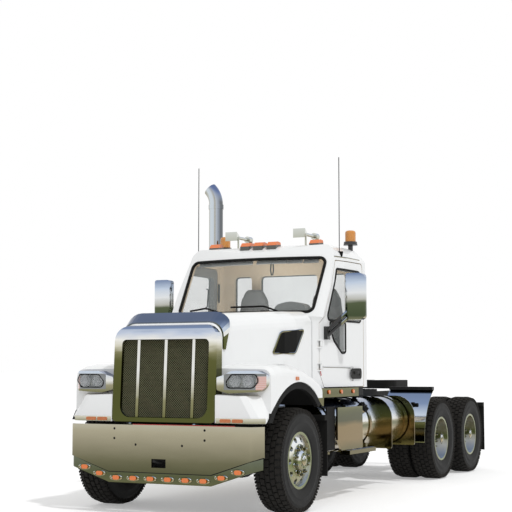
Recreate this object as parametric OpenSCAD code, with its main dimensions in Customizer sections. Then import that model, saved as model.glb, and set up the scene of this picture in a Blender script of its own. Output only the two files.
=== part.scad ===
/* [Layout] */
// Front face of the bumper to the front axle
front_overhang = 870; // [840:1:900]
// Front axle to the middle of the two driven axles
wheelbase = 5440; // [5300:1:5600]
// Spacing of the two driven axles
tandem_spread = 1343; // [1320:1:1380]
// Middle of the driven axles to the back of the mudflaps
rear_overhang = 1430; // [1410:1:1480]

/* [Wheels] */
// Outer radius of every tyre
tyre_r = 550; // [540:1:555]
// Width of a steered tyre
front_tyre_w = 315; // [300:1:320]
// Width of a driven tyre
rear_tyre_w = 300; // [290:1:310]
// Radius of the bead seat of every rim
rim_r = 286; // [280:1:290]
// Middle of a steered tyre from the centre line
front_wheel_x = 1076; // [1070:1:1085]
// Middle of a pair of driven tyres from the centre line
dual_x = 891; // [885:1:900]
// Spacing of the two tyres of a pair
dual_spacing = 343; // [335:1:350]
// Kingpin from the centre line
kingpin_x = 900; // [890:1:905]
// Radius of the kingpin
kingpin_r = 25; // [20:1:28]
// Radius of the spindles that carry the wheels
spindle_r = 45; // [40:1:50]
// Number of wheel studs and of hand holes in a rim
stud_count = 10; // [8:1:10]

/* [Frame] */
// Outer face of a frame rail from the centre line
rail_x = 430; // [425:1:440]
// Height of a frame rail
rail_h = 270; // [250:1:280]
// Top of the frame rails above the ground
rail_top = 1010; // [1000:1:1015]
// Thickness of a frame rail's web and flanges
rail_t = 10; // [8:1:12]
// Width of a frame rail's flanges
rail_flange = 85; // [75:1:90]

/* [Bumper] */
// Half the width of the bumper at its ends
bumper_half_w = 1152; // [1140:1:1165]
// Top of the bumper
bumper_top = 926; // [915:1:930]
// Lower edge of the bumper between its kinks
bumper_low = 440; // [430:1:460]
// Lower edge of the bumper at its ends
bumper_end_low = 620; // [600:1:640]
// Half the width between the kinks of the lower edge
bumper_kink_x = 610; // [590:1:630]
// Thickness of the bumper
bumper_t = 25; // [20:1:28]
// Height of the strip below the bumper that holds the marker lamps
valance_h = 115; // [105:1:120]

/* [Hood] */
// Half the width of the grille surround
grille_half_w = 620; // [610:1:630]
// Lower edge of the grille surround
grille_low = 955; // [952:1:965]
// Top of the grille surround
hood_front_top = 1968; // [1955:1:1985]
// Top of the hood under the bright crown
crown_top = 2090; // [2075:1:2100]
// Top of the hood at the cowl
hood_rear_top = 2150; // [2140:1:2160]
// Rear edge of the hood behind the front axle
hood_rear_y = 780; // [770:1:785]
// Half the width of the hood at the cowl
hood_rear_half_w = 992; // [985:1:996]
// Outer face of a fender from the centre line
fender_x = 1200; // [1190:1:1205]
// Radius of the wheel arch
arch_r = 820; // [810:1:830]
// Thickness of the hood's panels
hood_t = 30; // [25:1:35]

/* [Cab] */
// Half the width of the cab at the doors' rear edge
cab_half_w = 1050; // [1040:1:1055]
// Back of the cab behind the front axle
cab_back_y = 2360; // [2350:1:2400]
// Lower edge of the doors
door_low = 1300; // [1295:1:1310]
// Thickness of the doors and the cab's side walls
door_t = 70; // [60:1:75]
// Gap round the doors
door_gap = 10; // [9:1:12]
// Radius of the windscreen's curve
screen_r = 3500; // [3300:10:3800]
// Rake of the windscreen in degrees
screen_rake = 30.8; // [30:0.1:32]
// Top of the roof's side profile
roof_top = 3030; // [3015:1:3040]

/* [Tanks] */
// Radius of the fuel tanks
tank_r = 305; // [295:1:310]
// Middle of a fuel tank from the centre line
tank_x = 805; // [800:1:812]
// Middle of the fuel tanks above the ground
tank_z = 845; // [838:1:850]

/* [Fifth wheel] */
// Top of the fifth wheel plate
fifth_top = 1350; // [1330:1:1370]
// Half the width of the fifth wheel plate
fifth_half_w = 450; // [430:1:460]
// Radius of the bore that locks round a trailer's kingpin
jaw_r = 25.5; // [25:0.1:26]

/* [Hidden] */
$fn = 48;
// Play of a running fit, and of a tyre on its rim
fit = 0.3;
front_axle_y = front_overhang - (front_overhang + wheelbase + rear_overhang) / 2;
rear_axle_ys = [wheelbase - tandem_spread / 2, wheelbase + tandem_spread / 2];
mudflap_back_y = wheelbase + rear_overhang;
rail_low = rail_top - rail_h;
bumper_y = -front_overhang;
axle_z = tyre_r;

// Shared shapes. Every y below is measured from the front axle, and place() moves it to the part's origin.
module place() translate([0, front_axle_y, 0]) children();
module both_sides() for (side = [0, 1]) mirror([side, 0, 0]) children();

// An outline in (y, z) extruded across the truck, in (x, z) along it, or in (x, y) upwards
module side_shape(x0, x1) translate([x0, 0, 0]) rotate([90, 0, 90]) linear_extrude(x1 - x0) children();
module front_shape(y0, y1) translate([0, y1, 0]) rotate([90, 0, 0]) linear_extrude(y1 - y0) children();
module plan_shape(z0, z1) translate([0, 0, z0]) linear_extrude(z1 - z0) children();
module along_x(x0, x1, r, facets = $fn)
    translate([x0, 0, 0]) rotate([0, 90, 0]) cylinder(r = r, h = x1 - x0, $fn = facets);
module along_y(y0, y1, r) translate([0, y0, 0]) rotate([-90, 0, 0]) cylinder(r = r, h = y1 - y0);

// Corners [a, b, radius] as an outline whose corners are arcs
function unit2(v) = v / norm(v);
function arc_corner(p, q, s, n) =
    let (c = [q[0], q[1]], u = unit2([p[0], p[1]] - c), v = unit2([s[0], s[1]] - c))
    q[2] == 0 ? [c] :
    let (half = acos(u * v) / 2, m = c + unit2(u + v) * q[2] / sin(half))
    let (d0 = c + u * q[2] / tan(half) - m, d1 = c + v * q[2] / tan(half) - m)
    let (a0 = atan2(d0[1], d0[0]), turn = atan2(d1[1], d1[0]) - a0)
    let (sweep = turn > 180 ? turn - 360 : turn < -180 ? turn + 360 : turn)
    [for (i = [0:n]) m + q[2] * [cos(a0 + sweep * i / n), sin(a0 + sweep * i / n)]];
function rounded(pts, n = 6) =
    let (k = len(pts)) [for (i = [0:k - 1]) each arc_corner(pts[(i + k - 1) % k], pts[i], pts[(i + 1)
        % k], n)];
function mirrored(half) = concat(half, [for (i = [len(half) - 1:-1:0]) [-half[i][0], half[i][1],
    half[i][2]]]);
module box(x0, x1, y0, y1, z0, z1) translate([x0, y0, z0]) cube([x1 - x0, y1 - y0, z1 - z0]);

// Wheels: a tyre's section, its rim, and the hub that turns on a spindle
module tyre(w) rotate([0, 90, 0]) rotate_extrude($fn = 72) polygon(rounded([
    [rim_r + fit, -0.36 * w, 0], [rim_r + 30, -0.40 * w, 20], [(rim_r + tyre_r) / 2 - 20, -0.5 * w, 70],
    [tyre_r - 18, -0.45 * w, 12], [tyre_r, -0.40 * w, 14], [tyre_r, 0.40 * w, 14],
        [tyre_r - 18, 0.45 * w, 12],
    [(rim_r + tyre_r) / 2 - 20, 0.5 * w, 70], [rim_r + 30, 0.40 * w, 20], [rim_r + fit, 0.36 * w, 0],
    [rim_r + fit, 0.33 * w, 0], [rim_r + 40, 0.36 * w, 20], [tyre_r - 40, 0.34 * w, 30],
    [tyre_r - 40, -0.34 * w, 30], [rim_r + 40, -0.36 * w, 20], [rim_r + fit, -0.33 * w, 0]], 4));
flange_r = rim_r + 12;
barrel_r = rim_r - 14;
hub_bore_r = spindle_r + fit;
hub_cap_r = 84;
hand_hole_r = 28;
function barrel(mid, w) = let (e = 0.40 * w) [
    [barrel_r, mid - e], [flange_r, mid - e], [flange_r, mid - e + 5], [rim_r, mid - e + 5],
    [rim_r, mid + e - 5], [flange_r, mid + e - 5], [flange_r, mid + e], [barrel_r, mid + e]];
module hand_holes(r, x0, x1) for (i = [0:stud_count - 1])
    rotate([360 / stud_count * (i + 0.5), 0, 0]) translate([0, 0, r]) along_x(x0, x1, hand_hole_r);

// A steered wheel: its disc stands out level with the tyre's face
module front_rim() difference() {
    rotate([0, 90, 0]) rotate_extrude($fn = 72) polygon(concat(
        [[0, 162], [hub_bore_r, 162], [hub_bore_r, -50], [112, -50], [112, 98], [190, 94], [barrel_r, 60]],
        barrel(0, front_tyre_w),
        [[barrel_r, 86], [200, 116], [172, 124], [105, 124], [105, 148], [hub_cap_r, 172], [0, 172]]));
    hand_holes(222, 40, 130);
}

// A pair of driven wheels, their discs back to back on one hub with its brake drum
module rear_rims() let (mid = dual_spacing / 2) difference() {
    rotate([0, 90, 0]) rotate_extrude($fn = 72) polygon(concat(
        [[0, 160], [hub_bore_r, 160], [hub_bore_r, -170], [axle_tube_r + 5, -170], [axle_tube_r + 5, -380],
         [205, -380], [205, -215], [125, -200], [125, -24], [190, -24], [barrel_r, -78]],
        barrel(-mid, rear_tyre_w), [[barrel_r, -56], [196, 0], [barrel_r, 56]], barrel(mid, rear_tyre_w),
        [[barrel_r, 78], [190, 24], [105, 24], [105, 140], [hub_cap_r, 170], [0, 170]]));
    hand_holes(230, -110, 110);
}
module rear_tyres() for (s = [-1, 1]) translate([s * dual_spacing / 2, 0, 0]) tyre(rear_tyre_w);
module front_wheel_place() translate([front_wheel_x, 0, axle_z]) children();
module rear_wheel_place(i) translate([dual_x, rear_axle_ys[i], axle_z]) children();
module right() mirror([1, 0, 0]) children();

module tyre_front_left() color([0.06, 0.06, 0.06]) place() front_wheel_place() tyre(front_tyre_w);
module tyre_front_right() color([0.06, 0.06, 0.06]) place() right() front_wheel_place() tyre(front_tyre_w);
module rim_front_left() color([0.8, 0.8, 0.8]) place() front_wheel_place() front_rim();
module rim_front_right() color([0.8, 0.8, 0.8]) place() right() front_wheel_place() front_rim();
module tyres_rear_left(i) color([0.06, 0.06, 0.06]) place() rear_wheel_place(i) rear_tyres();
module tyres_rear_right(i) color([0.06, 0.06, 0.06]) place() right() rear_wheel_place(i) rear_tyres();
module rims_rear_left(i) color([0.8, 0.8, 0.8]) place() rear_wheel_place(i) rear_rims();
module rims_rear_right(i) color([0.8, 0.8, 0.8]) place() right() rear_wheel_place(i) rear_rims();

// Steering knuckle: kingpin, two lugs over and under the axle's eye, and the wheel's spindle
eye_r = 58;
eye_half_h = 70;
lug_t = 55;
upright_x = kingpin_x + eye_r + 6;
module knuckle() translate([0, 0, axle_z]) {
    translate([kingpin_x, 0, -eye_half_h - lug_t]) cylinder(r = kingpin_r, h = 2 * (eye_half_h + lug_t));
    for (s = [0, 1]) mirror([0, 0, s]) translate([0, 0, eye_half_h + fit]) difference() {
        union() {
            translate([kingpin_x, 0, 0]) cylinder(r = eye_r - 4, h = lug_t);
            box(kingpin_x, upright_x + 28, -eye_r + 4, eye_r - 4, 0, lug_t);
        }
        translate([kingpin_x, 0, -1]) cylinder(r = kingpin_r - 1, h = lug_t + 2);
    }
    box(upright_x, upright_x + 28, -eye_r + 4, eye_r - 4, -eye_half_h - lug_t, eye_half_h + lug_t);
    along_x(upright_x + 27, front_wheel_x - 56, 80);
    along_x(upright_x + 27, front_wheel_x + 155, spindle_r);
    box(kingpin_x - 20, kingpin_x + 20, eye_r - 10, 210, -eye_half_h - lug_t, -eye_half_h - lug_t + 30);
}
module knuckle_left() color([0.15, 0.15, 0.15]) place() knuckle();
module knuckle_right() color([0.15, 0.15, 0.15]) place() right() knuckle();

// Front axle: a dropped beam with an I section and an eye for each kingpin
beam_top = axle_z - 90;
beam_low = axle_z - 200;
beam_half_t = 55;
module front_axle() color([0.12, 0.12, 0.12]) place() difference() {
    union() {
        front_shape(-beam_half_t, beam_half_t) polygon(rounded(mirrored([
            [560, beam_low, 60], [790, axle_z - 62, 40], [kingpin_x, axle_z - 62, 0],
                [kingpin_x, axle_z + 62, 0],
            [760, axle_z + 50, 40], [540, beam_top, 60]])));
        both_sides() translate([kingpin_x, 0, axle_z - eye_half_h]) cylinder(r = eye_r, h = 2 * eye_half_h);
    }
    for (s = [-1, 1]) translate([0, s * (beam_half_t - 10), 0])
        box(-530, 530, -25, 25, beam_low + 22, beam_top - 22);
    both_sides() translate([kingpin_x, 0, axle_z - eye_half_h - 1])
        cylinder(r = kingpin_r + fit, h = 2 * eye_half_h + 2);
}

// Driven axles: tubes that swell to the differential
axle_tube_r = 75;
diff_r = 200;
module rear_axle(i) translate([0, rear_axle_ys[i], axle_z]) rotate([0, 90, 0]) rotate_extrude($fn = 64)
    polygon(rounded(mirror_axis([[0, dual_x + 155, 0], [spindle_r, dual_x + 155, 0],
        [spindle_r, dual_x - 176, 0],
        [axle_tube_r, dual_x - 176, 0], [axle_tube_r, 285, 100], [diff_r, 165, 80]]), 5));
function mirror_axis(half) = concat(half, [for (i = [len(half) - 1:-1:0]) [half[i][0], -half[i][1],
    half[i][2]]]);
module rear_axles() color([0.12, 0.12, 0.12]) place() for (i = [0, 1]) rear_axle(i);

// Leaf springs on the front axle, saddles and beams on the driven ones, all under the rails
spring_x0 = rail_x - rail_flange;
spring_half_l = 690;
spring_mid_h = 62;
spring_end_h = 24;
rail_front_y = -600;
module leaf_spring() side_shape(spring_x0, rail_x) polygon(concat(
    [for (i = [-10:10]) [spring_half_l * i / 10, spring_z(i / 10)]],
    [for (i = [10:-1:-10]) [spring_half_l * i / 10,
        spring_z(i / 10) + spring_mid_h + (spring_end_h - spring_mid_h) * pow(abs(i / 10), 1.5)]]));
function spring_z(t) = beam_top + (rail_low - spring_end_h - 40 - beam_top) * t * t;
saddle_half_l = 130;
module suspension() color([0.1, 0.1, 0.1]) place() both_sides() {
    leaf_spring();
    for (s = [-0.78, 0.95]) difference() {
        spring_hanger_block(s * spring_half_l);
        leaf_spring();
    }
    difference() {
        union() {
            for (y = rear_axle_ys)
                box(spring_x0, rail_x, y - saddle_half_l, y + saddle_half_l, axle_z, rail_low);
            box(spring_x0, rail_x, rear_axle_ys[0], rear_axle_ys[1],
                axle_z + axle_tube_r + 20, rail_low - 30);
        }
        for (y = rear_axle_ys) translate([0, y, axle_z]) along_x(spring_x0 - 1, rail_x + 1, axle_tube_r);
    }
}
module spring_hanger_block(y) box(spring_x0, rail_x, y - 40, y + 40, beam_top + 60, rail_low);

// Shafts from the gearbox to the first driven axle and on to the second
shaft_r = 55;
shaft_z = axle_z + 60;
gearbox_back_y = 1300;
module driveshafts() color([0.15, 0.15, 0.15]) place() difference() {
    translate([0, 0, shaft_z]) {
        along_y(gearbox_back_y, rear_axle_ys[0], shaft_r);
        along_y(rear_axle_ys[0], rear_axle_ys[1], shaft_r - 12);
    }
    for (i = [0, 1]) rear_axle(i);
}

// Frame: two channels joined by crossmembers, with brackets for the bumper, the hood's hinge and the cab
rail_back_y = mudflap_back_y - 60;
module frame_rails() color([0.06, 0.06, 0.06]) place() both_sides() front_shape(rail_front_y, rail_back_y)
    polygon([[rail_x, rail_low], [rail_x, rail_top], [rail_x - rail_flange, rail_top],
        [rail_x - rail_flange, rail_top - rail_t], [rail_x - rail_t, rail_top - rail_t],
        [rail_x - rail_t, rail_low + rail_t], [rail_x - rail_flange, rail_low + rail_t],
        [rail_x - rail_flange, rail_low]]);
cross_t = 60;
// Crossmembers stand at set distances behind the front axle or ahead of the first driven one
cross_ys = [rail_front_y + 40, 1500, 2700, rear_axle_ys[0] - 1068, rear_axle_ys[0] - 368, wheelbase,
    rail_back_y - cross_t];
hinge_y = -800;
hinge_z = 930;
hinge_pin_r = 10;
hinge_boss_r = 18;
hinge_plate_x = rail_x - 25;
hinge_lug_x = hinge_plate_x - 34;
cab_low = 1190;
module crossmembers() color([0.07, 0.07, 0.07]) place() {
    for (y = cross_ys)
        box(-rail_x + rail_t, rail_x - rail_t, y, y + cross_t, rail_low + rail_t, rail_top - rail_t);
    both_sides() {
        box(rail_x - rail_flange, rail_x, bumper_y + bumper_t + fit, rail_front_y, rail_low, rail_low +
            150);
        side_shape(hinge_plate_x, rail_x) {
            polygon([[rail_front_y, rail_low + 150], [rail_front_y, hinge_z + hinge_boss_r],
                [hinge_y, hinge_z + hinge_boss_r], [hinge_y, hinge_z - hinge_boss_r],
                [hinge_y + 60, rail_low + 150]]);
            translate([hinge_y, hinge_z]) circle(r = hinge_boss_r);
        }
        translate([0, hinge_y, hinge_z]) along_x(hinge_lug_x - 8, rail_x - 5, hinge_pin_r);
        for (y = [1020, 2240]) box(rail_x - rail_flange, rail_x, y, y + 90, rail_top, cab_low);
    }
}

// Engine and gearbox as plain blocks between the rails, and the radiator behind the grille
engine_half_w = 320;
module engine() color([0.2, 0.2, 0.2]) place() {
    box(-engine_half_w, engine_half_w, -420, 620, axle_z + 100, 1560);
    box(-230, 230, 620, gearbox_back_y, axle_z, 1000);
    both_sides() box(engine_half_w - 1, rail_x - rail_t, -80, 80, rail_low + 60, rail_top - 110);
}
module radiator() color([0.08, 0.08, 0.08]) place() box(-500, 500, -590, -480, rail_top, 1880);

// Bumper: a bent plate with a kinked lower edge, and the strip under it that holds lamps
bumper_bend_x = bumper_half_w - 77;
bumper_end_y = bumper_y + 135;
module bumper_plan(inset) polygon(rounded(mirrored([
    [bumper_half_w - 0.3 * inset, bumper_end_y + 40, 0], [bumper_half_w - 1.15 * inset, bumper_end_y, 0],
    [bumper_bend_x - 0.6 * inset, bumper_y + inset, 60]])));
module bumper_bend(inset, t) difference() {
    plan_shape(0, bumper_top + 1) bumper_plan(inset);
    translate([0, 0, -1]) plan_shape(0, bumper_top + 3) translate([0, 0.01]) bumper_plan(inset + t);
    box(-bumper_half_w, bumper_half_w, bumper_end_y, bumper_end_y + 100, -1, bumper_top + 5);
}
tow_half_w = 85;
module bumper() color([0.75, 0.75, 0.72]) place() difference() {
    intersection() {
        bumper_bend(0, bumper_t);
        front_shape(bumper_y - 10, bumper_end_y + 50) polygon(mirrored2([
            [bumper_kink_x, bumper_low], [bumper_half_w + 10, bumper_end_low],
                [bumper_half_w + 10, bumper_top]]));
    }
    box(-tow_half_w, tow_half_w, bumper_y - 5, bumper_y + bumper_t + 5, 490, 580);
}
function mirrored2(half) = concat(half, [for (i = [len(half) - 1:-1:0]) [-half[i][0], half[i][1]]]);
valance_set = 14;
module bumper_valance() color([0.7, 0.7, 0.68]) place() intersection() {
    bumper_bend(valance_set, bumper_t - valance_set);
    front_shape(bumper_y - 10, bumper_end_y + 50) polygon(mirrored2([
        [bumper_kink_x, bumper_low - valance_h], [bumper_half_w + 10, bumper_end_low - valance_h],
        [bumper_half_w + 10, bumper_end_low], [bumper_kink_x, bumper_low]]));
}
// Hood: a nose that flares from the grille to the cowl, with a fender over each front wheel.
// Nose sections: place along the truck, half width, top, radius of the shoulders
nose_front_y = -650;
crown_back_y = -480;
nose_sections = [
    [nose_front_y, grille_half_w - 20, hood_front_top - 8, 150], [crown_back_y, 636, crown_top, 190],
    [-200, 722, crown_top + 14, 175], [0, 832, crown_top + 27, 175], [200, 926, crown_top + 38, 175],
    [420, 972, crown_top + 47, 165], [hood_rear_y, hood_rear_half_w, hood_rear_top, 150]];
// Fender sections: place along the truck, outer face below and above, top, radius of the outer shoulder
fender_front_y = -800;
lamp_back_y = -645;
fender_low_sections = [
    [fender_front_y, 1030, 900, 1228, 30], [-770, 1105, 965, 1234, 40], [-700, 1165, 1025, 1238, 50],
    [lamp_back_y, fender_x - 20, 1060, 1240, 50]];
fender_top_sections = [
    [lamp_back_y, fender_x - 20, fender_x - 20, 1500, 90], [-560, fender_x - 8, fender_x - 8, 1532, 110],
    [-400, fender_x - 2, fender_x - 2, 1553, 120], [-200, fender_x, fender_x, 1556, 120],
    [0, fender_x, fender_x, 1538, 120], [200, fender_x, fender_x, 1500, 120],
    [400, fender_x - 2, fender_x - 2, 1442, 110], [560, fender_x - 10, fender_x - 10, 1378, 90],
    [650, fender_x - 20, fender_x - 20, 1325, 70]];
fender_strip_h = 55;
hood_low = grille_low;
hood_rear_low = 1190;
module slice(y) front_shape(y, y + 1) children();
module nose_slice(s, grow, over) slice(s[0]) polygon(rounded([
    [s[1] + grow, hood_low - 5 - over, 0], [s[1] + grow, s[2] + grow, s[3] + grow / 2],
    [-s[1] - grow, s[2] + grow, s[3] + grow / 2], [-s[1] - grow, hood_low - 5 - over, 0]]));
// Every pair of neighbouring sections is one length of the nose, and over lengthens both its ends
module nose(grow, first, last, over = 0) for (i = [first:last - 1]) hull() {
    translate([0, i == first ? -over : 0, 0]) nose_slice(nose_sections[i], grow, over);
    translate([0, i == last - 1 ? over : 0, 0]) nose_slice(nose_sections[i + 1], grow, over);
}
module fender_slice(s) slice(s[0]) polygon(rounded([
    [560, hood_low, 0], [s[1], hood_low, 0], [s[1], hood_low + fender_strip_h, 0], [s[2], s[3], s[4]],
    [560, s[3] + 12, 0]]));
module fender(sections) for (i = [0:len(sections) - 2]) hull() {
    fender_slice(sections[i]);
    fender_slice(sections[i + 1]);
}
nose_last = len(nose_sections) - 1;
arch_facets = 144;
module hood_shell() color([0.93, 0.94, 0.94]) place() difference() {
    union() {
        nose(0, 0, nose_last);
        both_sides() {
            fender(fender_low_sections);
            fender(fender_top_sections);
        }
    }
    nose(-hood_t, 0, nose_last, 5);
    both_sides() translate([0, 0, axle_z]) along_x(480, fender_x + 100, arch_r, arch_facets);
    box(-1300, 1300, 0, hood_rear_y + 20, 0, hood_rear_low);
    box(-grille_half_w - 1, grille_half_w + 1, fender_front_y - 10, nose_front_y, 0, hood_rear_top + 50);
}

// Grille: a polished surround that leans back, a screen of upright slats and three bright bars
grille_top_y = -745;
grille_open_half_w = 525;
grille_open_low = 1000;
grille_open_top = 1815;
grille_set = 32;
grille_bars = [-330, 0, 330];
slat_pitch = 30;
slat_gap = 18;
function lean(z) = fender_front_y + (grille_top_y - fender_front_y) * (z - grille_low)
    / (hood_front_top - grille_low);
module grille_slab(front, back, z0, z1) side_shape(-grille_half_w - 5, grille_half_w + 5)
    polygon([[lean(z0) + front, z0], [lean(z1) + front, z1], [lean(z1) + back, z1], [lean(z0) + back, z0]]);
module grille_opening(grow) polygon(rounded(mirrored([
    [grille_open_half_w + grow, grille_open_low - grow, 120 + grow],
    [grille_open_half_w + grow, grille_open_top + grow, 50 + grow]])));
module grille_surround() color([0.85, 0.85, 0.85]) place() {
    difference() {
        intersection() {
            front_shape(fender_front_y - 10, nose_front_y) polygon(rounded(mirrored([
                [grille_half_w, grille_low, 50], [grille_half_w, hood_front_top, 170]])));
            side_shape(-grille_half_w, grille_half_w) polygon(rounded([
                [fender_front_y, grille_low, 0], [grille_top_y, hood_front_top, 90],
                [nose_front_y, hood_front_top, 0], [nose_front_y, grille_low, 0]]));
        }
        front_shape(fender_front_y - 20, nose_front_y + 10) grille_opening(0);
    }
    both_sides() side_shape(hinge_lug_x, hinge_plate_x - 6) difference() {
        union() {
            translate([hinge_y, hinge_z]) circle(r = hinge_boss_r);
            polygon([[hinge_y + 6, hinge_z], [hinge_y + hinge_boss_r, hinge_z],
                [hinge_y + 60, grille_low + 1],
                [hinge_y + 20, grille_low + 1]]);
        }
        translate([hinge_y, hinge_z]) circle(r = hinge_pin_r + fit);
    }
}
module grille_insert() color([0.2, 0.2, 0.18]) place() intersection() {
    union() {
        intersection() {
            grille_slab(grille_set, grille_set + 14, grille_low, hood_front_top);
            front_shape(fender_front_y, nose_front_y) difference() {
                grille_opening(0);
                for (x = [-grille_open_half_w + 22:slat_pitch:grille_open_half_w - 22])
                    translate([x, grille_open_low + 130]) square([slat_gap, grille_open_top -
                        grille_open_low - 170]);
            }
        }
        intersection() {
            grille_slab(grille_set - 22, grille_set + 14, grille_low, hood_front_top);
            for (x = grille_bars) box(x - 13, x + 13, fender_front_y, nose_front_y, 0, hood_front_top);
        }
    }
    front_shape(fender_front_y, nose_front_y) grille_opening(0);
}

// Bright crown that rises behind the surround's top, with a hook down each side of the nose
crown_front_y = nose_front_y + 35;
crown_hook_z = 1705;
crown_t = 16;
module hood_crown() color([0.8, 0.82, 0.85]) place() intersection() {
    difference() {
        nose(crown_t, 0, 1);
        nose(0, 0, 1);
    }
    side_shape(-hood_rear_half_w, hood_rear_half_w) polygon(rounded([
        [crown_front_y, crown_hook_z, 12], [crown_front_y + 32, crown_hook_z, 12],
        [crown_back_y - 55, crown_top - 210, 200], [crown_back_y, crown_top - 70, 0],
        [crown_back_y, crown_top + 50, 0], [crown_front_y, crown_top + 50, 0]]));
}

// Headlamps: a pod round the corner of each fender with two round projectors in its recess
lamp_low = 1256;
lamp_top = 1484;
projector_r = 66;
lamp_centres = [830, 985];
lamp_mid_z = 1378;
module headlamps() color([0.8, 0.82, 0.85]) place() both_sides() difference() {
    lamp_pod();
    lamp_recess();
}
module lamp_pod() intersection() {
    plan_shape(lamp_low, lamp_top) polygon(rounded([
        [grille_half_w + 4, -775, 0], [880, -795, 200], [1075, -765, 130],
        [1164, lamp_back_y, 0], [grille_half_w + 4, lamp_back_y, 0]]));
    front_shape(-900, lamp_back_y) polygon(rounded([
        [grille_half_w + 4, 1290, 20], [760, lamp_low, 80], [1100, lamp_low + 18, 80], [1164, 1350, 60],
        [1164, 1440, 40], [1080, lamp_top, 50], [800, lamp_top, 80], [700, 1440, 60],
            [grille_half_w + 4, 1420, 15]]));
}
module lamp_recess() difference() {
    front_shape(-900, -740) polygon(rounded([
        [735, 1305, 50], [1040, 1305, 60], [1100, 1380, 40], [1070, 1455, 40], [800, 1455, 50],
            [735, 1380, 20]]));
    for (x = lamp_centres) translate([x, 0, lamp_mid_z]) along_y(-762, -700, projector_r);
}

// Black lining of the wheel arches with a lip along the fender's edge
liner_gap = 0.6;
liner_t = 22;
lip_h = 70;
liner_in_x = grille_half_w + 6;
module arch_liners() color([0.05, 0.05, 0.05]) place() both_sides() intersection() {
    translate([0, 0, axle_z]) difference() {
        along_x(liner_in_x, fender_x - 12, arch_r - liner_gap, arch_facets);
        along_x(liner_in_x - 1, fender_x - 60, arch_r - liner_gap - liner_t, arch_facets);
        along_x(liner_in_x - 1, fender_x, arch_r - liner_gap - lip_h, arch_facets);
    }
    box(liner_in_x - 5, fender_x, -arch_r - 5, arch_r, hood_low + 6, axle_z + arch_r + 5);
    side_shape(0, fender_x + 10) polygon([[-900, 900], [-900, 1500], [700, 1500],
        [700, hood_rear_low - 30], [0, 900]]);
}

// Bright strips with twin amber lamps under the fenders, and a marker on each fender's side
strip_t = 3;
strip_lamp_t = 4;
strip_lamp_w = 126;
strip_back_y = fender_front_y + 82;
module strip_plan(out) polygon(concat(
    [[grille_half_w + 12, fender_front_y + 60], [grille_half_w + 12, fender_front_y - out]],
    [for (s = fender_low_sections) [s[1] + out, s[0] - out]], [[fender_x - 60, lamp_back_y]]));
module fender_lamps() color([0.9, 0.5, 0.15]) place() both_sides() {
    plan_shape(hood_low + 2, hood_low + fender_strip_h - 3) intersection() {
        difference() {
            strip_plan(strip_t);
            strip_plan(fit);
        }
        translate([grille_half_w, fender_front_y - 10]) square([fender_x,
            strip_back_y - fender_front_y + 10]);
    }
    for (x = [676, 816]) front_shape(fender_front_y - strip_t - strip_lamp_t, fender_front_y - strip_t)
        polygon(rounded([[x, hood_low + 8, 16], [x + strip_lamp_w, hood_low + 8, 16],
            [x + strip_lamp_w, hood_low + 44, 16], [x, hood_low + 44, 16]]));
    side_shape(fender_x, fender_x + 10) polygon(rounded([
        [-95, 1388, 8], [-20, 1388, 8], [-25, 1424, 8], [-90, 1424, 8]]));
}

// Air intakes on the hood's sides: a dark plate that follows the panel
vent_t = 8;
module hood_vents() color([0.1, 0.1, 0.1]) place() intersection() {
    difference() {
        nose(vent_t, 2, nose_last);
        nose(0, 1, nose_last);
    }
    side_shape(-1100, 1100) polygon(rounded([
        [50, 1669, 15], [385, 1672, 70], [588, 1943, 18], [150, 1908, 60]]));
}

// Cab: one hollow form, split into floor, front, back, roof and doors where the panels meet
cab_front_y = hood_rear_y + 10;
cab_front_half_w = hood_rear_half_w + 8;
cowl_z = 2095;
screen_base_y = 932;
screen_base_z = 2170;
roof_split_z = 2825;
floor_top = door_low - door_gap;
wall_t = 60;
screen_frame_t = 50;
roof_t = 55;
module cab_plan(inset, front) polygon(rounded(mirrored([
    [cab_front_half_w - inset, cab_front_y + front, 0], [cab_half_w - inset, 1900, 900],
    [cab_half_w - inset, cab_back_y - front, 60]])));
// Above the cowl the sides lean in, most at the windscreen
lean_top_z = 3100;
pillar_lean = 209;
rear_lean = 19;
module cab_plan_top(inset, front) polygon(rounded(mirrored([
    [cab_front_half_w - pillar_lean - inset, cab_front_y + front, 0],
    [cab_half_w - rear_lean - inset, 2230, 500], [cab_half_w - rear_lean - inset, cab_back_y - front,
        60]])));
module cab_upper(inset, front, z0, over = 0) hull() {
    plan_shape(z0, z0 + 1) cab_plan(inset, front);
    plan_shape(lean_top_z - 1, lean_top_z + over) cab_plan_top(inset, front);
}
module cab_skin(inset, front, over = 0) {
    plan_shape(1000 - over, cowl_z) cab_plan(inset, front);
    cab_upper(inset, front, cowl_z, over);
}
module screen_cylinder(inset) translate([0, screen_base_y + screen_r * cos(screen_rake),
    screen_base_z - screen_r * sin(screen_rake)]) rotate([-screen_rake, 0, 0])
    cylinder(r = screen_r - inset, h = 4 * screen_r, center = true, $fn = 180);
module cab_form(inset, front, screen, top, z0) {
    plan_shape(z0, cowl_z - top) cab_plan(inset, front);
    intersection() {
        cab_upper(inset, front, cowl_z - top);
        side_shape(-2000, 2000) polygon(rounded([
            [700, cowl_z - top, 0], [1100, 2720 - top, 0], [1480, roof_top - 55 - top, 220],
            [1950, roof_top - top, 900], [cab_back_y - 70, roof_top - 30 - top, 110],
            [cab_back_y, 2700, 0], [cab_back_y, cowl_z - top, 0]]));
        front_shape(0, 3000) polygon(rounded(mirrored([
            [2000, 0, 0], [2000, 2400, 0], [cab_half_w - inset, 2790 - top, 60], [890, 2985 - top, 200],
            [30, roof_top + 25 - top, 0]])));
        screen_cylinder(screen);
    }
}
module cab_outer() cab_form(0, 0, 0, 0, cab_low);
module cab_shell() difference() {
    cab_outer();
    cab_form(door_t, wall_t, screen_frame_t, roof_t, cab_low - 50);
    box(-2000, 2000, 0, 3000, 0, floor_top);
}

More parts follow.
